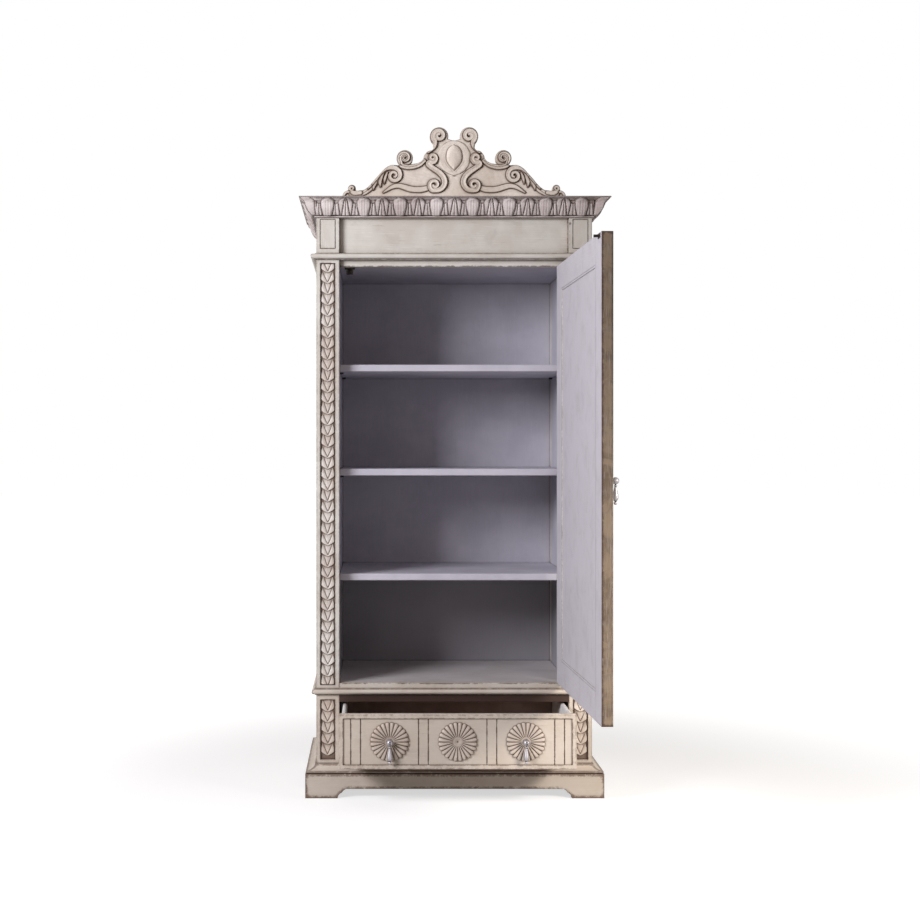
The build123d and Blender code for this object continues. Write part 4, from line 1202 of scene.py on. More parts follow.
    def draw_to_outline(
        self, carving: Relief, outside: np.ndarray
    ) -> tuple[np.ndarray, np.ndarray, np.ndarray]:
        """Draw the cells at the edge to the sawn outline, and round its arris.

        Args:
            carving: The carving.
            outside: How far each place lies outside the outline.

        Returns:
            The new places across and up, and the height with the rounding.
        """
        x, z, height = carving.x, carving.z, carving.height
        slope_z, slope_x = np.gradient(outside, self.cell)
        length = np.maximum(np.hypot(slope_x, slope_z), 1e-6)
        drawn = (outside > -0.55 * self.cell) & (outside < self.spill * self.cell)
        shift = np.where(drawn, outside, 0.0)
        inset = np.clip(-np.where(drawn, 0.0, outside), 0, self.rounding) / self.rounding
        drop = self.rounding - round_over(inset, 1, self.rounding)
        return (
            np.where(x > 0, x - shift * slope_x / length, x),
            np.clip(z - shift * slope_z / length, 0, None),
            np.where(outside > -self.rounding, np.minimum(height, 6.0) - drop, height),
        )

    def saw_out(self, face: Surface, kept: np.ndarray, back: float) -> Surface:
        """Keep the part of the face inside the outline, with sawn edges behind it.

        Args:
            face: The carved face, wider than the board.
            kept: Whether each of its corners belongs to the board.
            back: Where the board's back is, in metres.

        Returns:
            The board without its back.
        """
        quads = face.faces[kept[face.faces].all(axis=1)]
        edges = np.concatenate([quads[:, [i, (i + 1) % 4]] for i in range(4)])
        count = len(face.corners)
        there = edges[:, 0] * count + edges[:, 1]
        back_again = edges[:, 1] * count + edges[:, 0]
        rim = edges[~np.isin(there, back_again)]
        behind = face.corners.copy()
        behind[:, 1] = back
        walls = np.stack([rim[:, 1], rim[:, 0], rim[:, 0] + count, rim[:, 1] + count], axis=-1)
        used, numbers = np.unique(np.concatenate([quads, walls]), return_inverse=True)
        corners = np.concatenate([face.corners, behind])[used]
        tones = np.concatenate([face.glaze, np.zeros(count)])[used]
        return Surface(corners, numbers.reshape(-1, 4), tones)

    def build(self) -> bpy.types.Object:
        """Carve the board.

        Returns:
            The finished piece.
        """
        low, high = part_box(self.node)
        front = high.y - self.thickness * MM
        columns = np.arange(0, self.half_width + self.cell, self.cell)
        x, z = np.meshgrid(columns, np.arange(0, self.top + self.cell, self.cell))
        outside = self.outline_distance(x, z)
        carving = self.relief(x, z)
        carving.height = carving.height + chisel_marks(x, z, 17.0, 0.25)
        carving.draw_line(0.5, outside + 1.0, 2.2)
        x, z, depth = self.draw_to_outline(carving, outside)

        x = np.concatenate([-x[:, :0:-1], x], axis=1)
        z, depth, glaze, outside = (
            np.concatenate([right[:, :0:-1], right], axis=1)
            for right in (z, depth, carving.glaze, outside)
        )
        face = Surface.from_lattice(np.stack([x * MM, front - depth * MM, z * MM + low.z], axis=-1), glaze)
        made = self.saw_out(face, (outside < self.spill * self.cell).reshape(-1), high.y)
        piece = made.to_object("crest_carving", self.material, filled=True)
        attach(piece, "cabinet")
        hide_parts(self.node)
        return piece


# ---------------------------------------------------------------- cornice


@dataclass
class Cornice:
    """The top moulding: a bead, a swelling body of carved leaves and a square lip.

    Attributes:
        material: Its finish.
        step: The bead's foot in front of the case, in millimetres.
        bead: The bead's height.
        body: The foot and the head of the swelling body: outwards and up.
        lip: The lip's underside at its back: outwards and up.
        swell: How far the body bows outwards, and then how far it is hollowed under the lip.
        reach: How far the lip stands out.
        height: The moulding's height.
        period: The distance from one wide leaf to the next.
        first_leaf: The distance of the first wide leaf from the corner of the case.
        proud: How far the low leaves, the lobes, the blades and the wide leaves stand out.
        flute: The distance between two flutes on a wide leaf.
        cell: The width of a cell of the carving.
    """

    material: bpy.types.Material
    step: float = 3.0
    bead: float = 7.0
    body: tuple[tuple[float, float], tuple[float, float]] = ((11.0, 8.0), (33.0, 42.0))
    lip: tuple[float, float] = (50.5, 57.4)
    swell: tuple[float, float] = (4.0, -3.0)
    reach: float = 53.5
    height: float = 61.0
    period: float = 115.6
    first_leaf: float = 36.9
    proud: tuple[float, float, float, float] = (4.6, 5.6, 6.6, 7.2)
    flute: float = 8.5
    cell: float = 1.5

    def section(self) -> tuple[np.ndarray, np.ndarray, np.ndarray]:
        """Draw the moulding's section from its foot to its top.

        Returns:
            The points, outwards and up, in millimetres, their outward normals, and how far each
            lies up the band of leaves, negative below it and more than 1 above it.
        """
        start, end = self.body
        bead = [
            (self.step + self.bead / 2 * math.sin(a), self.bead / 2 - self.bead / 2 * math.cos(a))
            for a in np.linspace(0, math.pi, 9)
        ]
        swell = self.bow(start, end, self.swell[0])
        hollow = self.bow(end, self.lip, self.swell[1])
        points = np.array(
            [(0.0, 0.0), *bead, (self.step, start[1]), *swell, *hollow[1:],
             (self.reach - 0.6, self.lip[1]), (self.reach, self.lip[1] + 0.8),
             (self.reach, (self.lip[1] + self.height) / 2), (self.reach, self.height - 0.8),
             (self.reach - 0.8, self.height), (self.reach - 6.0, self.height), (0.0, self.height)]
        )
        along = np.gradient(points, axis=0)
        normals = np.stack([along[:, 1], -along[:, 0]], axis=1)
        normals /= np.maximum(np.linalg.norm(normals, axis=1, keepdims=True), 1e-9)
        leafy = np.full(len(points), -1.0)
        first = len(bead) + 2
        last = first + len(swell) + len(hollow) - 1
        run = np.concatenate([[0], np.cumsum(np.hypot(*np.diff(points[first:last], axis=0).T))])
        leafy[first:last] = run / run[-1]
        leafy[last:] = 2.0
        return points, normals, leafy

    def bow(self, start: tuple[float, float], end: tuple[float, float], sag: float) -> np.ndarray:
        """Draw a shallow arc between two points.

        Args:
            start: The first point.
            end: The last point.
            sag: How far the middle bows outwards.

        Returns:
            The arc's points.
        """
        a, b = np.array(start), np.array(end)
        length = float(np.hypot(*(b - a)))
        t = np.linspace(0, 1, max(4, int(length / self.cell) + 1))[:, None]
        out = np.array([(b - a)[1], -(b - a)[0]]) / length
        return a + (b - a) * t + out * 4 * sag * t * (1 - t)

    def wide_leaf(self, v: np.ndarray) -> np.ndarray:
        """Give half the width of a wide leaf, which has a blunt round head, at v of the band."""
        flank = 15.0 + 6.5 * smooth_step(v, 0, 0.55)
        return flank * np.sqrt(np.clip(1 - np.clip((v - 0.66) / 0.31, 0, 1) ** 2.2, 0, 1))

    def blade(self, v: np.ndarray) -> np.ndarray:
        """Give half the width of a pair of narrow blades, widest at the foot, at v of the band."""
        return (2.0 + 11.0 * (1 - v)) * np.sqrt(np.clip(1 - np.clip((v - 0.82) / 0.14, 0, 1) ** 2, 0, 1))

    def lobe(self, v: np.ndarray) -> np.ndarray:
        """Give half the width of the two lobes behind the blades, at v of the band."""
        crown = np.sqrt(np.clip(1 - np.clip((v - 0.6) / 0.36, 0, 1) ** 2, 0, 1))
        return (17.0 + 6.0 * np.clip(v / 0.6, 0, 1)) * crown

    def inside(
        self, outline: Callable[[np.ndarray], np.ndarray], across: np.ndarray, v: np.ndarray
    ) -> np.ndarray:
        """Measure how far inside an outline, which gives the half width at v, each place lies."""
        slope = (outline(v + 0.01) - outline(v - 0.01)) / (0.02 * self.height)
        return (outline(v) - across) / np.sqrt(1 + slope**2)

    def leaves(self, place: np.ndarray, v: np.ndarray) -> tuple[np.ndarray, np.ndarray]:
        """Carve the leaves.

        Args:
            place: The distance along the run from a wide leaf's middle.
            v: How far up the band, from 0 to 1.

        Returns:
            The height in millimetres, and the glaze with its painted shade.
        """
        half = self.period / 2
        number = np.floor((place + half) / self.period)
        q = np.mod(place + half, self.period) - half
        lean = 1.6 * np.sin(number * 2.4 + 0.7) * (v - 0.4)
        a = half - np.abs(q)
        side = np.sign(q) * np.sin(number * 1.7)
        to_wide = self.inside(self.wide_leaf, np.abs(q - lean), v)
        to_blade = self.inside(self.blade, a + 0.8 * side, v)
        to_lobe = self.inside(self.lobe, a + 0.8 * side, v)
        to_link = (0.6 + 0.006 * np.abs(a - 31 + 2 * side) - v) * self.height
        to_stem = a - 31 + 5 * (v - 0.3) * side
        behind = (to_wide <= 0) & (to_lobe <= 0)
        low = (to_link > 0) & behind

        gap = np.minimum(np.minimum(-to_lobe, -to_wide), np.minimum(np.abs(to_stem), to_link))
        leaf, lobe, blade, wide = self.proud
        flutes = 0.35 * np.cos(2 * math.pi * q / self.flute) * smooth_step(to_wide, 2.0, 6.0)
        forms = (
            (low, round_over(gap, 5.0, leaf)),
            ((to_lobe > 0) & (to_blade <= 0), round_over(np.minimum(to_lobe, -to_blade), 5.0, lobe)),
            (to_blade > 0, round_over(np.minimum(to_blade, a + 1.0), 5.0, blade)),
            (to_wide > 0, round_over(to_wide, 9.0, wide) + flutes),
        )
        height = np.full(low.shape, 0.2)
        for covered, form in forms:
            height = np.where(covered, form, height)

        between = np.mod(q + self.flute / 2, self.flute) - self.flute / 2
        cuts = (
            (1.0, to_wide, 2.1, True), (1.0, to_lobe, 1.7, to_wide <= 0), (1.0, to_blade, 1.5, True),
            (0.9, a, 0.9, to_blade > 0), (1.0, to_link, 2.0, behind), (0.85, to_stem, 1.2, low),
            (0.12, between, 1.2, to_wide > 3),
        )
        lines = np.zeros(height.shape)
        for strength, distance, width, where in cuts:
            lines = np.maximum(lines, strength * soft_line(distance, width) * where)
        lines = lines * (0.84 + 0.16 * np.sin(place * 0.27 + 2.0 * np.sin(v * 5 + place * 0.09)))
        # A soft dark halo round the leaves, and the darker top of the band under the lip, are painted shade.
        soft = 0.42 * soft_line(np.minimum(np.abs(to_wide), np.abs(to_lobe)), 4.6)
        shaded = smooth_step(v, 0.6, 1.0) * np.where(to_wide > 0, 0.15, 0.45)
        glaze = np.maximum(np.maximum(lines, soft), shaded)
        fade = smooth_step(v, 0.0, 0.05) * (1 - smooth_step(v, 0.97, 1.0))
        return height * fade, np.maximum(glaze, 0.75 * smooth_step(-v, -0.05, 0.0))

    def corner_leaf(self, t: np.ndarray, v: np.ndarray) -> tuple[np.ndarray, np.ndarray]:
        """Carve the half leaf that folds over a corner.

        Args:
            t: The way from the corner of the case, 0, to the mitre, 1.
            v: How far up the band, from 0 to 1.

        Returns:
            The height in millimetres, and the glaze.
        """
        edge = 1 - t
        half = 0.86 - 0.25 * smooth_step(v, 0.75, 1.0)
        inside = np.clip(edge / half, 0, 1)
        height = 4.0 * np.sqrt(np.clip(1 - inside**2.4, 0, 1)) * smooth_step(edge, 0, 0.08)
        glaze = np.maximum(soft_line((edge - half) * 40, 1.6), soft_line(edge * 45, 1.6))
        fade = smooth_step(v, 0.0, 0.06) * (1 - smooth_step(v, 0.95, 1.0))
        return height * fade, glaze * fade

    def run(self, length: float, corners: int) -> tuple[np.ndarray, np.ndarray]:
        """Make one straight length.

        Args:
            length: The length along the case, in millimetres.
            corners: How many of its ends are mitred, 1 for the first end or 2 for both.

        Returns:
            The points, as along, outwards and up from the first corner in millimetres, and the
            glaze with its painted shade.
        """
        section, normals, leafy = self.section()
        straight = np.linspace(0, length, int(length / self.cell))
        fan = np.linspace(1, 0, 30, endpoint=False)
        kinds = [(-fan, np.zeros_like(fan)), (np.zeros_like(straight), straight)]
        if corners == 2:
            kinds.append((fan[::-1], np.full_like(fan, length)))
        t = np.concatenate([k[0] for k in kinds])[None, :]
        base = np.concatenate([k[1] for k in kinds])[None, :]
        v = leafy[:, None] + 0 * t
        place = base - self.first_leaf
        fold = np.abs(t)
        height, glaze = self.leaves(place, v)
        folded, fold_glaze = self.corner_leaf(fold, v)
        height = np.where(fold > 0, folded, height)
        glaze = np.where(fold > 0, fold_glaze, glaze)
        band = (v >= 0) & (v <= 1)
        height = np.where(band, height + chisel_marks(base + 50 * t, 60 * v, 13, 0.15), 0)
        lip = section[:, 1][:, None] > self.lip[1] - 0.5
        bead = section[:, 1][:, None] - self.bead
        flat_top = normals[:, 1][:, None] > 0.7
        # The line at the bead's foot is a painted shadow under the cornice; the line over the bead is glaze.
        trim = np.where(lip & (v > 1), np.where(flat_top, 0.1, 0.55), np.maximum(
            0.8 * soft_line(bead, 1.2), 0.7 * soft_line(bead + self.bead, 1.8)))
        glaze = np.where(band, glaze, trim)
        proud = section[:, 0][:, None] + normals[:, 0][:, None] * height
        up = section[:, 1][:, None] + normals[:, 1][:, None] * height
        along = base + t * proud
        return np.stack([along, proud + 0 * along, up + 0 * along], axis=-1), glaze

    def build(self) -> list[bpy.types.Object]:
        """Carve the front and both sides.

        Returns:
            The finished pieces.
        """
        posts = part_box("front_post_left")
        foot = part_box("cornice_front")[0].z
        front = posts[0].y
        half = -posts[0].x
        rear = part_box("cornice_left")[1].y
        made = []
        points, glaze = self.run(2 * half / MM, 2)
        placed = np.stack(
            [points[..., 0] * MM - half, front - points[..., 1] * MM, foot + points[..., 2] * MM], axis=-1
        )
        made.append(self.finish(Surface.from_lattice(placed, glaze), "cornice_front"))
        points, glaze = self.run((rear - front) / MM, 1)
        for side in Side:
            out = side.value
            placed = np.stack(
                [out * (half + points[..., 1] * MM), front + points[..., 0] * MM,
                 foot + points[..., 2] * MM],
                axis=-1,
            )
            surface = Surface.from_lattice(placed, glaze, flipped=side is Side.LEFT)
            made.append(self.finish(surface, f"cornice_{side.name.lower()}"))
        return made

    def finish(self, surface: Surface, node: str) -> bpy.types.Object:
        """Turn a length into its piece.

        Args:
            surface: The carved length.
            node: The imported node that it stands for.

        Returns:
            The finished piece.
        """
        piece = surface.to_object(f"{node}_carving", self.material, filled=True)
        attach(piece, "cabinet")
        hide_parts(node)
        return piece


# ---------------------------------------------------------------- leaf strips


@dataclass
class LeafStrips:
    """The chains of leaves sunk into the faces of the two front posts.

    Attributes:
        material: Their finish.
        period: The height of one pair of leaves, in millimetres.
        half_field: Half the width of the sunk field.
        half_pair: Half the width of a pair of leaves at its widest.
        upper_tip: The height of the topmost point in the upper field.
        lower_tip: The height of the topmost point in the lower field.
        fields: The bottom and the top of the lower and of the upper field.
        sunk: How far the ground lies under the face that the leaves stand up to.
        proud: The most that a leaf stands over the ground.
        cell: The width of a cell of the carving.
    """

    material: bpy.types.Material
    period: float = 35.0
    half_field: float = 23.4
    half_pair: float = 21.7
    upper_tip: float = 1674.8
    lower_tip: float = 267.0
    fields: tuple[tuple[float, float], tuple[float, float]] = ((115.5, 308.0), (354.5, 1706.0))
    sunk: float = 1.2
    proud: float = 4.6
    cell: float = 1.3

    def pair(
        self, x: np.ndarray, t: np.ndarray, fork: float
    ) -> tuple[np.ndarray, np.ndarray, np.ndarray, np.ndarray]:
        """Carve one pair of leaves.

        Args:
            x: Places across from the middle, in millimetres.
            t: Places down from the tops of the leaves, as shares of the period.
            fork: How far apart the two cuts between the leaves start, from the middle.

        Returns:
            The height in millimetres, the glaze with painted shade, where the pair covers the ground, and
            how far inside its outline each place lies.
        """
        out = np.abs(x)
        share = np.clip(out / self.half_pair, 0, 1)
        rounded = 0.586 + 0.47 * (1 - share) ** 0.55
        flank = np.where(t < 0, 17.5 + 9.5 * t, 17.5 + (self.half_pair - 17.5) * np.sin(
            math.pi / 2 * np.clip(t / 0.45, 0, 1)))
        below = (rounded - t) * self.period
        inside = (out < flank) & (below > 0) & (t > -0.22)
        edge = np.minimum(flank - out, below)
        groove = fork * np.clip(1 - t / 0.84, 0, 1) ** 0.9 + 0.7
        to_groove = np.where(t < 0.9, np.abs(out - groove), 9.0)
        leaf = np.clip((out - groove) / np.maximum(flank - groove, 1), 0, 1)
        bulge = np.where(out > groove, 1.5 * np.sin(math.pi * np.clip(leaf, 0, 1)) ** 0.7,
                         0.9 * (1 - (out / np.maximum(groove, 0.5)) ** 2).clip(0, 1))
        height = 0.4 + 2.6 * np.clip(t, 0, 1) + 1.25 * bulge
        height = height * smooth_step(edge, -0.3, 1.6) - 1.6 * soft_line(to_groove, 1.2)
        glaze = (0.95 - 0.35 * share) * soft_line(to_groove, 1.2) * smooth_step(t, -0.25, 0.1)
        # The top of each pair darkens under the tips of the pair above, a painted shade.
        shade_under_pair_above = smooth_step(t, 0.42 + 0.2 * share, 0.02) * (0.12 + 0.28 * share)
        glaze = np.maximum(glaze, shade_under_pair_above)
        rib = soft_line(out, 0.6) * (out < groove) * smooth_step(t, 0.75, 0.2)
        glaze = np.maximum(glaze, 0.35 * rib)
        return np.maximum(height, 0.1), glaze, inside, edge

    def carve_field(self, x: np.ndarray, z: np.ndarray, tip: float) -> Relief:
        """Carve a whole field.

        Args:
            x: Places across from the middle, in millimetres.
            z: Heights over the floor.
            tip: The height of the topmost point.

        Returns:
            The carving.
        """
        rim = self.half_field - np.abs(x)
        carving = Relief(x, z, np.zeros(x.shape), 0.78 + 0.1 * soft_line(rim - 0.4, 1.5))
        top = tip + 1.055 * self.period
        first = math.floor((top - z.max()) / self.period) - 1
        last = min(math.floor((top - z.min()) / self.period), self.last_pair(tip))
        for number in range(last, first - 1, -1):
            if number < 0:
                continue
            t = (top - number * self.period - z) / self.period
            fork = 12.6 + 2.2 * math.sin(number * 2.3)
            local, tone, inside, edge = self.pair(x + 0.5 * math.sin(number * 1.9), t, fork)
            beside = ~inside & (t > -0.2) & (t < 1.3)
            outer = smooth_step(np.abs(x), 2.0, 15.0)
            # The dark line outside each pair, on the pair below and the ground, is a painted shadow of the
            # pair.
            carving.draw_line(0.7 + 0.25 * outer, edge, 1.7 + 1.6 * outer, beside)
            ragged = 1.0 + 0.5 * np.sin(0.9 * x + 2.1 * number) * np.sin(0.7 * z)
            tone = np.maximum(tone, 0.7 * soft_line(edge, 1.1 * ragged))
            carving.cover(inside, local, tone)
        return carving

    def last_pair(self, tip: float) -> int:
        """Count the pairs below the first: the lower field ends with a whole one."""
        return 4 if tip == self.lower_tip else 40

    def build(self) -> bpy.types.Object:
        """Carve the four strips.

        Returns:
            The finished piece.
        """
        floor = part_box("leaf_carvings")[1].y
        ground = floor - self.sunk * MM
        made = []
        for side in Side:
            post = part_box(f"front_post_{side.name.lower()}")
            middle = (post[0].x + post[1].x) / 2
            for (bottom, top), tip in zip(self.fields, (self.lower_tip, self.upper_tip)):
                across = np.arange(-self.half_field, self.half_field + 0.01, self.cell)
                up = np.arange(bottom + 0.6, top - 0.6, self.cell)
                x, z = np.meshgrid(across, up)
                carving = self.carve_field(x, z, tip)
                height = np.clip(carving.height + chisel_marks(x, z, 7, 0.25), 0, self.proud)
                depth = ground - height * MM
                depth[0, :] = depth[-1, :] = floor
                depth[:, 0] = depth[:, -1] = floor
                points = np.stack([middle + x * MM, depth, z * MM], axis=-1)
                made.append(Surface.from_lattice(points, carving.glaze))
        piece = Surface.joined(made).to_object("leaf_strips", self.material, filled=True)
        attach(piece, "cabinet")
        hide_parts("leaf_carvings")
        return piece


# ---------------------------------------------------------------- drawer rosettes


@dataclass
class Rosettes:
    """The three turned and gadrooned rosettes on the drawer.

    Attributes:
        material: Their finish.
        petals: How many petals each has.
        radius: The radius at the tips of the petals, in millimetres.
        hub: The radius of the smooth middle.
        crown: The height of the petals' crown over the drawer.
        crown_radius: Where the petals are highest.
        foot: The height of the petals at the hub.
        rim: The height of the petals at their tips.
        cut: The depth of the cut between two petals.
    """

    material: bpy.types.Material
    petals: int = 24
    radius: float = 60.0
    hub: float = 11.0
    crown: float = 8.2
    crown_radius: float = 45.0
    foot: float = 4.4
    rim: float = 2.6
    cut: float = 3.6

    def bloom(self, dimpled: bool) -> Surface:
        """Carve one rosette about the origin, with its height along +y.

        Args:
            dimpled: Whether the middle has a turner's dimple.

        Returns:
            The rosette in metres.
        """
        radii = np.concatenate(
            [np.linspace(0.3, self.hub - 1.5, 9), np.linspace(self.hub, self.radius, 30)]
        )
        count = self.petals * 10
        turn = np.arange(count) / count * 2 * math.pi
        r, theta = np.meshgrid(radii, turn, indexing="ij")
        share = np.clip((r - self.hub) / (self.radius - self.hub), 0, 1)
        wave = np.abs(np.mod(theta * self.petals / (2 * math.pi), 1.0) - 0.5) * 2
        body = self.foot + (self.crown - self.foot) * np.sin(math.pi / 2 * np.clip(
            (r - self.hub) / (self.crown_radius - self.hub), 0, 1))
        beyond = np.clip((r - self.crown_radius) / (self.radius - self.crown_radius), 0, 1)
        falling = self.rim + (self.crown - self.rim) * np.sqrt(1 - beyond**2.2)
        body = np.where(r > self.crown_radius, falling, body)
        dome = np.sqrt(np.clip(1 - wave**2.6, 0, 1))
        depth = self.cut * smooth_step(share, 0.0, 0.3)
        height = np.where(r > self.hub - 1, body - depth * (1 - dome), 4.6 - 1.5 * (1 - (r / self.hub) ** 2))
        height = height + 0.5 * soft_line(r - self.hub + 1.2, 1.2)
        spacing = 2 * math.pi * r / self.petals / 2
        aside = (1 - wave) * spacing
        glaze = np.maximum.reduce([
            soft_line(aside, 1.35) * smooth_step(share, 0.0, 0.12),
            (0.3 + 0.25 * share) * soft_line(aside, 3.4),
            0.34 * soft_line(r, 15.0),
            # The dark last two millimetres of the rim are a painted shadow round the rosette.
            0.6 * smooth_step(r, self.radius - 1.8, self.radius),
            dimpled * soft_line(r, 3.6),
        ])
        height = height - dimpled * 1.6 * soft_line(r, 3.0)
        notch = 5.4 * (1 - np.sqrt(1 - 0.98 * wave**2)) * smooth_step(share, 0.55, 1.0)
        x, z = (r - notch) * np.cos(theta), (r - notch) * np.sin(theta)
        skirt = np.stack([x[-1:], 0 * x[-1:], z[-1:]], axis=-1)
        points = np.concatenate([np.stack([x, height, z], axis=-1), skirt]) * MM
        # The skirt under the rim is darkened as a painted shadow.
        tones = np.concatenate([glaze, np.full((1, count), 0.8)])
        return Surface.from_lattice(points, tones, closed=True, flipped=True)

    def build(self) -> bpy.types.Object:
        """Carve all three.

        Returns:
            The finished piece.
        """
        low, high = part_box("drawer_rosettes")
        seat = high.y
        level = (low.z + high.z) / 2
        side_x = high.x - self.radius * MM
        made = []
        for x in (-side_x, 0.0, side_x):
            bloom = self.bloom(dimpled=x == 0.0)
            bloom.corners = bloom.corners * (1, -1, 1) + (x, seat, level)
            made.append(bloom)
        piece = Surface.joined(made).to_object("gadrooned_rosettes", self.material, filled=True)
        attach(piece, "drawer")
        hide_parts("drawer_rosettes")
        return piece


# ---------------------------------------------------------------- drop pulls


@dataclass
class DropPull:
    """A turned pewter drop that hangs in the slot of a ball.

    Attributes:
        material: Its finish.
        node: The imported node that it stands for.
        body: The body that it rides on.
        length: How far the drop hangs below the middle of its pin, in millimetres.
        section: The turned section below the ball: distance down and radius, in millimetres.
        eye: The section of the flat eye: radius and place across, in millimetres.
        stub: The section of the stub under the eye: distance down and radius, in millimetres.
    """

    material: bpy.types.Material
    node: str
    body: str
    length: float = 66.0
    section: tuple[tuple[float, float], ...] = (
        (9.0, 2.2), (11.2, 2.6), (12.0, 4.0), (13.2, 4.4), (14.4, 4.0), (15.2, 3.0), (18.0, 3.5),
        (24.0, 4.6), (32.0, 6.2), (40.0, 7.6), (45.0, 8.0), (49.0, 7.6), (52.0, 6.4), (54.0, 4.6),
        (55.0, 3.4), (56.0, 3.0), (57.2, 3.4), (57.6, 4.0), (59.4, 4.5), (61.6, 4.7), (63.8, 4.1),
        (65.2, 2.6), (66.0, 0.4),
    )
    eye: tuple[tuple[float, float], ...] = (
        (1.35, 2.2), (1.35, 2.5), (3.7, 2.5), (4.2, 2.1), (4.2, -2.1), (3.7, -2.5), (1.35, -2.5),
        (1.35, -2.2), (1.35, 2.2),
    )
    stub: tuple[tuple[float, float], ...] = ((2.6, 1.8), (4.0, 2.2), (9.0, 2.2))

    def build(self) -> bpy.types.Object:
        """Turn the drop and hang it under its pin.

        Returns:
            The finished piece.
        """
        low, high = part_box(self.node)
        pin = np.array([(low.x + high.x) / 2, (low.y + high.y) / 2, low.z + self.length * MM])
        path = smooth_path(self.section, 1.0)
        turn = np.linspace(0, 2 * math.pi, 32, endpoint=False)
        down, ring = np.meshgrid(path[:, 0], turn, indexing="ij")
        radius = np.clip(path[:, 1], 0.3, None)[:, None] + 0 * ring
        points = np.stack([radius * np.cos(ring), radius * np.sin(ring), -down], axis=-1) * MM + pin
        hollows = np.gradient(np.gradient(path[:, 1]))
        glaze = np.clip(hollows * 8, 0, 1)[:, None] + 0 * ring
        shank = self.shank(pin)
        turned = Surface.from_lattice(points, glaze, closed=True, flipped=True)
        piece = Surface.joined([turned, shank]).to_object(f"{self.node}_turning", self.material, filled=True)
        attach(piece, self.body)
        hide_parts(self.node)
        return piece

    def shank(self, pin: np.ndarray) -> Surface:
        """Make the flat eye on the pin, with the stub that carries the drop.

        Args:
            pin: The middle of the pin.

        Returns:
            The eye and the stub.
        """
        turn = np.linspace(0, 2 * math.pi, 28, endpoint=False)
        section, down = np.array(self.eye), np.array(self.stub)
        reach, ring = np.meshgrid(section[:, 0], turn, indexing="ij")
        flat = section[:, 1][:, None] + 0 * ring
        eye = np.stack([flat, reach * np.cos(ring), reach * np.sin(ring)], axis=-1) * MM + pin
        depth, around = np.meshgrid(down[:, 0], turn, indexing="ij")
        radius = down[:, 1][:, None] + 0 * around
        stub = np.stack([radius * np.cos(around), radius * np.sin(around), -depth], axis=-1) * MM + pin
        return Surface.joined(
            [Surface.from_lattice(eye, closed=True), Surface.from_lattice(stub, closed=True, flipped=True)]
        )


# ---------------------------------------------------------------- boards


@dataclass
class Boards:
    """The plain boards, panels, mouldings and iron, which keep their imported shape.

    Attributes:
        finishes: The finish of each node by name.
        rack: Where the materials are made.
    """

    finishes: Mapping[str, Finish]
    rack: FinishRack

    def dress(self) -> int:
        """Give every listed node its finish.

        Returns:
            The number of nodes dressed.
        """
        for node, finish in self.finishes.items():
            piece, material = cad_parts[node], self.rack.take(finish)
            if not piece.material_slots:
                piece.data.materials.append(material)
            for slot in piece.material_slots:
                slot.material = material
        return len(self.finishes)


def list_boards() -> dict[str, Finish]:
    """List the finish of every packed board.

    Returns:
        The finish by the node's name.
    """
    groups: dict[Finish, str] = {
        CREAM_UPRIGHT: "front_post_left front_post_right back_post_left back_post_right "
                       "side_panel_left side_panel_right",
        CREAM_ACROSS: "plinth_front plinth_back lower_rail head_rail frieze_board",
        CREAM_DRAWER: "drawer_front",
        CREAM_DEEP: "plinth_side_left plinth_side_right top_board",
        MOULDED_ACROSS: "architrave_front waist_moulding_front base_moulding_front",
        MOULDED_DEEP: "architrave_left architrave_right waist_moulding_left waist_moulding_right "
                      "base_moulding_left base_moulding_right",
        CREAM_CARVED: "drawer_rosettes leaf_carvings",
        CREAM_CREST: "crest",
        LILAC_CARVED: "cornice_front cornice_left cornice_right",
        DOOR_UPRIGHT: "door_stile_hinge door_panel",
        DOOR_FREE: "door_stile_free",
        DOOR_RAIL: "door_rail_top door_rail_bottom",
        LAVENDER_BACK: "back_panel",
        LAVENDER_UPRIGHT: "side_lining_left side_lining_right",
        LAVENDER_FLOOR: "cupboard_floor",
        LAVENDER_ACROSS: "shelf_lower shelf_middle shelf_upper",
        LAVENDER_CEILING: "cupboard_ceiling",
        CREAM_RAIL: "middle_rail",
        OFF_WHITE: "drawer_side_left drawer_side_right",
        DARK_PINE: "drawer_back drawer_bottom drawer_runners plinth_blocks",
        PEWTER: "drawer_pull_roses drawer_pull_drop_left drawer_pull_drop_right door_pull_rose "
                "door_pull_drop",
        IRON: "catch door_strike door_hinge_leaves frame_hinge_leaves shelf_pins",
    }
    return {node: finish for finish, nodes in groups.items() for node in nodes.split()}


# ---------------------------------------------------------------- studio


@dataclass(frozen=True)
class Lamp:
    """A rectangular lamp.

    Attributes:
        name: The lamp's name.
        place: Where it hangs.
        target: The point that it faces.
        size: Its width and height.
        power: Its power in watts.
        colour: Its colour.
        spread: The angle of its beam in degrees, which a grid narrows.
    """

    name: str
    place: tuple[float, float, float]
    target: tuple[float, float, float]
    size: tuple[float, float]
    power: float
    colour: str
    spread: float = 180.0

    def hang(self) -> None:
        """Hang the lamp and turn it to its target."""
        data = bpy.data.lights.new(self.name, "AREA")
        data.spread = math.radians(self.spread)
        data.shape = "RECTANGLE"
        data.size, data.size_y = self.size
        data.energy = self.power
        data.color = linear(self.colour)[:3]
        lamp = bpy.data.objects.new(self.name, data)
        lamp.location = self.place
        towards = np.array(self.target) - np.array(self.place)
        yaw = math.atan2(towards[0], -towards[1])
        pitch = math.atan2(math.hypot(towards[0], towards[1]), -towards[2])
        lamp.rotation_euler = (pitch, 0, math.pi + yaw)
        bpy.context.scene.collection.objects.link(lamp)


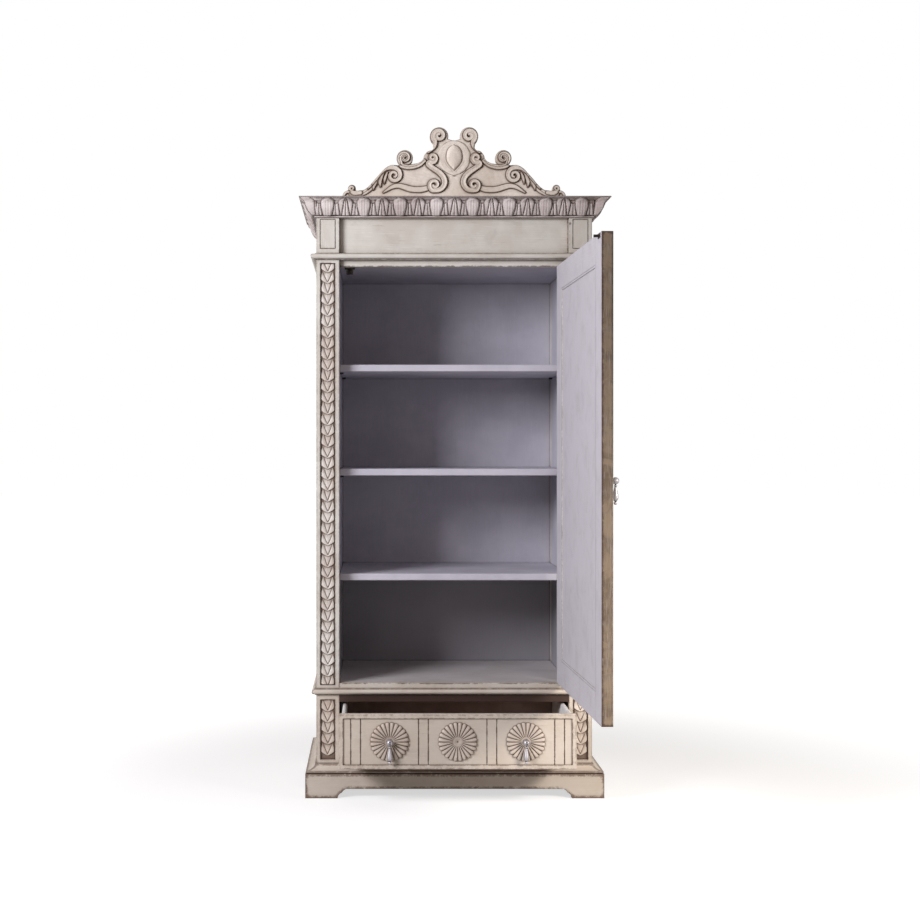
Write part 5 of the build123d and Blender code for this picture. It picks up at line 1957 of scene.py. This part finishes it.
@dataclass
class Studio:
    """A pale room with one large soft lamp, and the camera.

    Attributes:
        eye: The camera's place.
        lens: Its focal length on a 36 mm sensor, in millimetres.
        shift: The shift that frames the cabinet.
        lamps: The large lamp at the left and the weaker one at the right.
        sky: The strength of the light from all round.
        sky_tint: The colour of that light.
        floor_reach: How far the floor goes on every side, in metres.
    """

    eye: tuple[float, float, float] = (-0.258, -4.4058, 1.1035)
    lens: float = 55.28
    shift: tuple[float, float] = (0.0939, -0.0096)
    lamps: tuple[Lamp, ...] = (
        Lamp("key_lamp", (-2.9, -2.35, 2.15), (0.0, 0.1, 1.25), (1.5, 1.1), 159.0, "#f9f9ff"),
        Lamp("fill_lamp", (1.8, -1.5, 1.3), (0.5, -0.1, 0.03), (0.8, 0.6), 11.0, "#fff8f1", 75.0),
    )
    sky: float = 0.18
    sky_tint: str = "#ffeadb"
    floor_reach: float = 30.0

    def set_camera(self) -> None:
        """Place the camera."""
        data = bpy.data.cameras.new("studio_camera")
        data.sensor_width = 36.0
        data.lens = self.lens
        data.shift_x, data.shift_y = self.shift
        camera = bpy.data.objects.new("studio_camera", data)
        camera.location = self.eye
        camera.rotation_euler = (math.pi / 2, 0, 0)
        bpy.context.scene.collection.objects.link(camera)
        bpy.context.scene.camera = camera

    def lay_floor(self) -> None:
        """Lay the floor: white to the camera, dimmed near the cabinet as painted shade, keeping its shadow.
        """
        near, far = -self.floor_reach, self.floor_reach
        points = np.array([[[near, near, 0], [far, near, 0]], [[near, far, 0], [far, far, 0]]])
        material, tree = new_material("white_paper_floor")
        fibre = add_node(tree, "TexNoise", {"Scale": per_metre(400), "Detail": 3.0})
        greys = {AMOUNT: fibre, UNDER: linear("#b4b4b4"), OVER: linear("#b0b0b0")}
        paper = add_node(tree, "BsdfDiffuse", (add_node(tree, "Mix", greys, COLOURS, MIXED),))
        camera = add_node(tree, "LightPath", output="Is Camera Ray")
        seen = add_node(tree, "Math", (camera, camera.node.outputs["Is Glossy Ray"]), LARGER)
        place = add_node(tree, "TexCoord", output="Object")
        away = add_node(tree, "VectorMath", (place,), {"operation": "LENGTH"}, "Value")
        # The glow is weaker within about two metres of the middle, a painted shade round the cabinet's foot.
        glow_dimmed_near = add_node(tree, "MapRange", (away, 0.9, 2.3, 0.63, 1.0), SMOOTH)
        lift = add_node(tree, "Math", (seen, glow_dimmed_near), TIMES)
        glow = add_node(tree, "Emission", {"Color": (1, 1, 1, 1), "Strength": lift})
        add_node(tree, "OutputMaterial", (add_node(tree, "AddShader", (paper, glow)),))
        floor = Surface.from_lattice(points).to_object("floor", material)

    def light_sky(self) -> None:
        """Light the room softly from all round, behind a white backdrop."""
        world = bpy.data.worlds.new("studio_sky")
        bpy.context.scene.world = world
        world.use_nodes = True
        tree = world.node_tree
        tree.nodes.clear()
        camera = add_node(tree, "LightPath", output="Is Camera Ray")
        rays = camera.node.outputs
        seen = add_node(tree, "Math", (camera, rays["Is Glossy Ray"]), LARGER)
        seen = add_node(tree, "Math", (seen, rays["Is Transmission Ray"]), LARGER)
        soft = add_node(tree, "Background", (linear(self.sky_tint), self.sky))
        white = add_node(tree, "Background", ((1, 1, 1, 1), 1.0))
        add_node(tree, "OutputWorld", (add_node(tree, "MixShader", (seen, soft, white)),))

    def build(self) -> None:
        """Set the camera, the floor and the lights."""
        self.set_camera()
        self.lay_floor()
        self.light_sky()
        for lamp in self.lamps:
            lamp.hang()
        bpy.context.scene.view_settings.view_transform = "Standard"


# ---------------------------------------------------------------- assembly


def main() -> None:
    """Build every piece and report it."""
    Studio().build()
    log.info("studio is set")
    rack = FinishRack()
    dressed = Boards(list_boards(), rack).dress()
    log.info("%d packed nodes are dressed", dressed)
    carved, pewter = rack.take(CREAM_CARVED), rack.take(PEWTER)
    makers: list[Crest | Cornice | LeafStrips | Rosettes | DropPull] = [
        Crest(rack.take(CREAM_CREST)),
        Cornice(rack.take(LILAC_CARVED)),
        LeafStrips(carved),
        Rosettes(carved),
        DropPull(pewter, "drawer_pull_drop_left", "drawer_drop_left"),
        DropPull(pewter, "drawer_pull_drop_right", "drawer_drop_right"),
        DropPull(pewter, "door_pull_drop", "door_drop"),
    ]
    for maker in makers:
        made = maker.build()
        for piece in made if isinstance(made, list) else [made]:
            log.info("%s has %d faces", piece.name, len(piece.data.polygons))
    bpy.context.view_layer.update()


if __name__ == "__main__":
    main()
